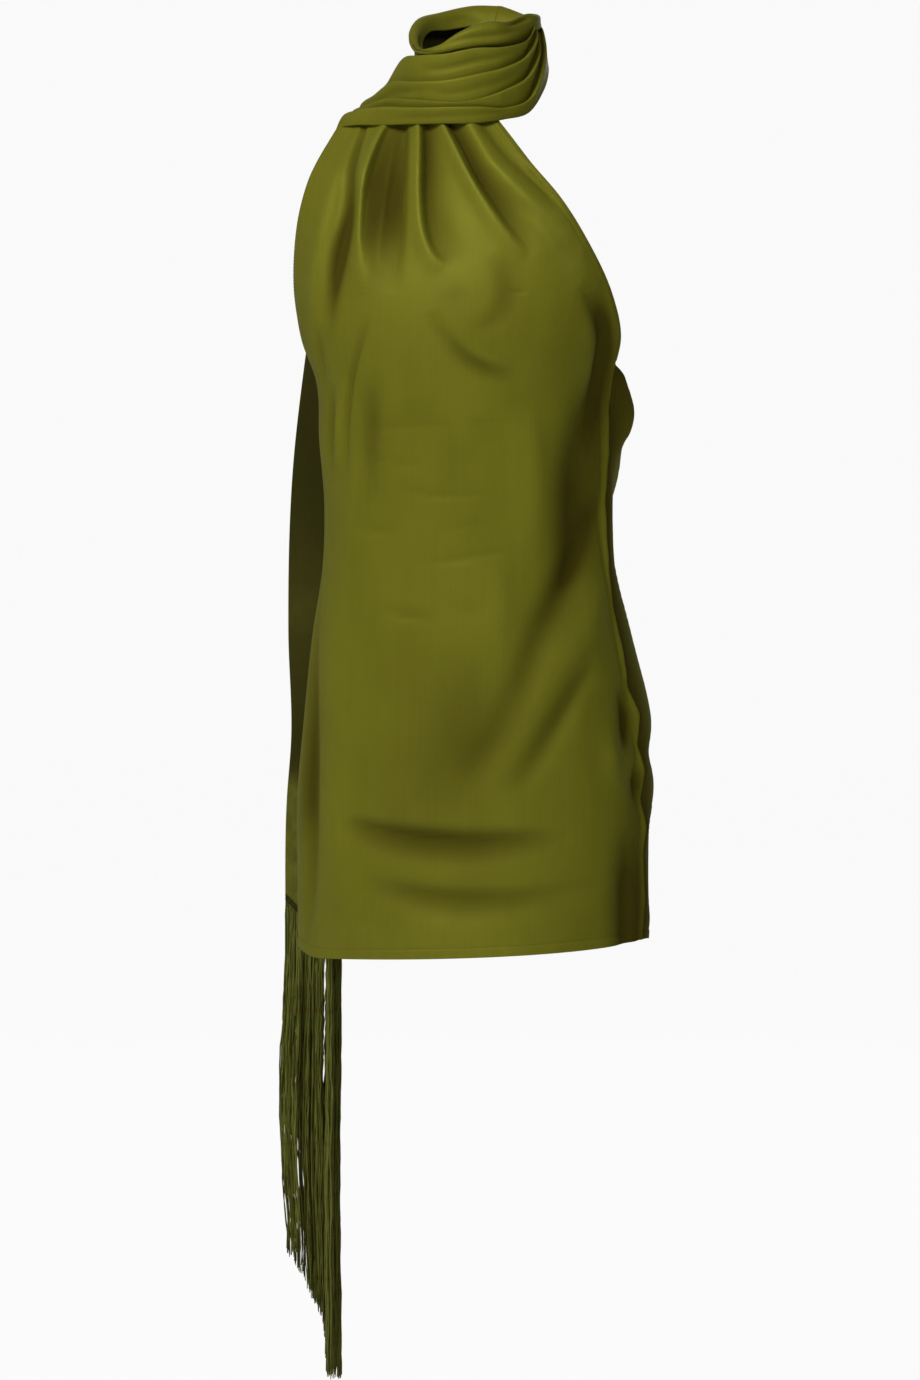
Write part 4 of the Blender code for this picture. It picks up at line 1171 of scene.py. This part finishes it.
def satin_finish(name, groups, colours, roughness, sheen, weave_depth):
    """Satin with its threads and wrinkles, painted highlights on its crests and painted shade in its
    valleys.
    """
    body, streak_colour, painted_highlight_colour, deep_and_painted_shade_colour = colours
    material, tree, shader = new_material(name)
    weave = place_group(tree, groups["satin_weave"], {"Thread Pitch": SATIN_PITCH})
    wrinkles = place_group(tree, groups["soft_wrinkles"], {"Spread": 1.0})
    fold_light = place_group(tree, groups["fold_painted_light"], {"Reach": 7.0})
    streak = stands_above(tree, weave["Streak"], 0.35, 1.2)
    colour = mix_colours(tree, streak, body, streak_colour)
    tone = stands_above(tree, wrinkles["Tone"], 0.45, 0.6)
    colour = mix_colours(tree, tone, colour, deep_and_painted_shade_colour)
    # Painted shade: the valleys of the folds are darker
    colour = mix_colours(tree, fold_light["Valley"], colour, deep_and_painted_shade_colour)
    # Painted highlight: the crests of the folds are paler
    colour = mix_colours(tree, times(tree, fold_light["Crest"], 0.7), colour, painted_highlight_colour)
    tree.links.new(colour, shader.inputs["Base Color"])
    rough = math_node(tree, "ADD", times(tree, weave["Streak"], 0.12), roughness - 0.06)
    rough = math_node(tree, "ADD", rough, times(tree, fold_light["Valley"], 0.4), clamp=True)
    tree.links.new(rough, shader.inputs["Roughness"])
    normal = bump_node(tree, wrinkles["Height"], 0.6, 0.0026)
    normal = bump_node(tree, weave["Height"], weave_depth, 0.00012, normal)
    tree.links.new(normal, shader.inputs["Normal"])
    set_inputs(shader, {"Metallic": 0.16, "Specular IOR Level": 0.20})
    set_inputs(shader, {"Specular Tint": SATIN_GLOSS, "Sheen Tint": SATIN_SHEEN})
    set_inputs(shader, {"Sheen Weight": sheen, "Sheen Roughness": 0.45})
    return material


def thread_finish(name, groups, colours):
    """Twisted thread: dark and light strands, and brown flecks along them."""
    deep, body, pale, brown = colours
    material, tree, shader = new_material(name)
    weave = place_group(tree, groups["satin_weave"], {"Thread Pitch": THREAD_PITCH})
    strand = fold_reader(tree)
    fleck = noise_node(tree, 300.0, 110.0, detail=4.0)
    colour = mix_colours(tree, times(tree, strand, 3.0, clamp=True), deep, body)
    colour = mix_colours(tree, stands_above(tree, strand, 0.45, 1.8), colour, pale)
    colour = mix_colours(tree, stands_above(tree, fleck, 0.54, 3.0), colour, brown)
    tree.links.new(colour, shader.inputs["Base Color"])
    rough = math_node(tree, "ADD", times(tree, weave["Streak"], 0.2), 0.5)
    tree.links.new(rough, shader.inputs["Roughness"])
    normal = bump_node(tree, weave["Height"], 0.5, 0.00025)
    tree.links.new(normal, shader.inputs["Normal"])
    set_inputs(shader, {"Specular IOR Level": 0.18, "Specular Tint": SATIN_GLOSS})
    return material


# ---- studio
def seen_by_camera(tree, share, plain, shown, output):
    """The camera sees the shown shader, by a share; all other light meets the plain one."""
    path = tree.nodes.new("ShaderNodeLightPath")
    mix = tree.nodes.new("ShaderNodeMixShader")
    tree.links.new(times(tree, path.outputs["Is Camera Ray"], share), mix.inputs[0])
    tree.links.new(plain.outputs[0], mix.inputs[1])
    tree.links.new(shown.outputs[0], mix.inputs[2])
    tree.links.new(mix.outputs[0], tree.nodes[output].inputs["Surface"])


def floor_paint():
    """Matt white paint that reads nearly as white as the paper behind."""
    material, tree, paint = new_material("floor_paint")
    set_inputs(paint, {"Base Color": FLOOR_WHITE, "Roughness": 0.9})
    glow = tree.nodes.new("ShaderNodeEmission")
    set_inputs(glow, {"Color": WHITE})
    seen_by_camera(tree, 0.94, paint, glow, "Material Output")
    return material


def studio_floor():
    """Plain pale floor, a wide disc below the fringe."""
    lowest = cad_box[0][2] - FLOOR_DROP
    turn = ring_turns(FLOOR_CORNERS)
    rim = joined(np.cos(turn) * FLOOR_RADIUS, np.sin(turn) * FLOOR_RADIUS, np.full(len(turn), lowest))
    mesh = bpy.data.meshes.new("studio_floor")
    mesh.from_pydata(rim.tolist(), [], [list(range(len(rim)))])
    mesh.materials.append(floor_paint())
    new_object("studio_floor", mesh)


def aim_at(thing, place, aim):
    thing.location = place
    thing.rotation_euler = (Vector(aim) - Vector(place)).to_track_quat("-Z", "Y").to_euler()


def studio_air():
    """White paper behind, and a dimmer even light from all round."""
    world = bpy.data.worlds.new("studio_air")
    world.use_nodes = True
    tree = world.node_tree
    even = tree.nodes["Background"]
    set_inputs(even, {"Color": WHITE, "Strength": 0.16})
    paper = tree.nodes.new("ShaderNodeBackground")
    set_inputs(paper, {"Color": WHITE, "Strength": 0.95})
    seen_by_camera(tree, 1.0, even, paper, "World Output")
    bpy.context.scene.world = world


def studio():
    studio_air()
    studio_floor()
    bpy.context.scene.view_settings.view_transform = "Standard"
    for name, (place, aim, size, power) in LIGHTS.items():
        lamp = bpy.data.lights.new(name, "AREA")
        lamp.shape = "RECTANGLE"
        lamp.size, lamp.size_y = size
        lamp.energy = power
        aim_at(new_object(name, lamp), place, aim)


def photo_camera():
    """Camera a little to the wearer's left and slightly above, 4.2 m away."""
    lens = bpy.data.cameras.new("photo_camera")
    lens.sensor_width = 36.0
    lens.lens = CAMERA_LENS
    camera = new_object("photo_camera", lens)
    aim_at(camera, CAMERA_PLACE, CAMERA_AIM)
    bpy.context.scene.camera = camera


# ---- dress
def dress():
    groups = {
        "satin_weave": satin_weave_group(),
        "soft_wrinkles": soft_wrinkles_group(),
        "fold_painted_light": fold_painted_light_group(),
    }
    face = satin_finish("satin_face", groups, FACE_COLOURS, 0.50, 0.02, 0.35)
    reverse = satin_finish("satin_reverse", groups, REVERSE_COLOURS, 0.62, 0.10, 0.6)
    threads = thread_finish("fringe_thread", groups, THREAD_COLOURS)
    satin = [face, reverse]
    front = front_panel(satin)
    back = back_panel(satin)
    scarf_inner_turn(satin)
    turn = scarf_outer_turn(satin)
    scarf_tail(satin, turn)
    fringe(threads)
    fringe_heading(threads)
    sewing(front, back, threads)


dress()
studio()
photo_camera()
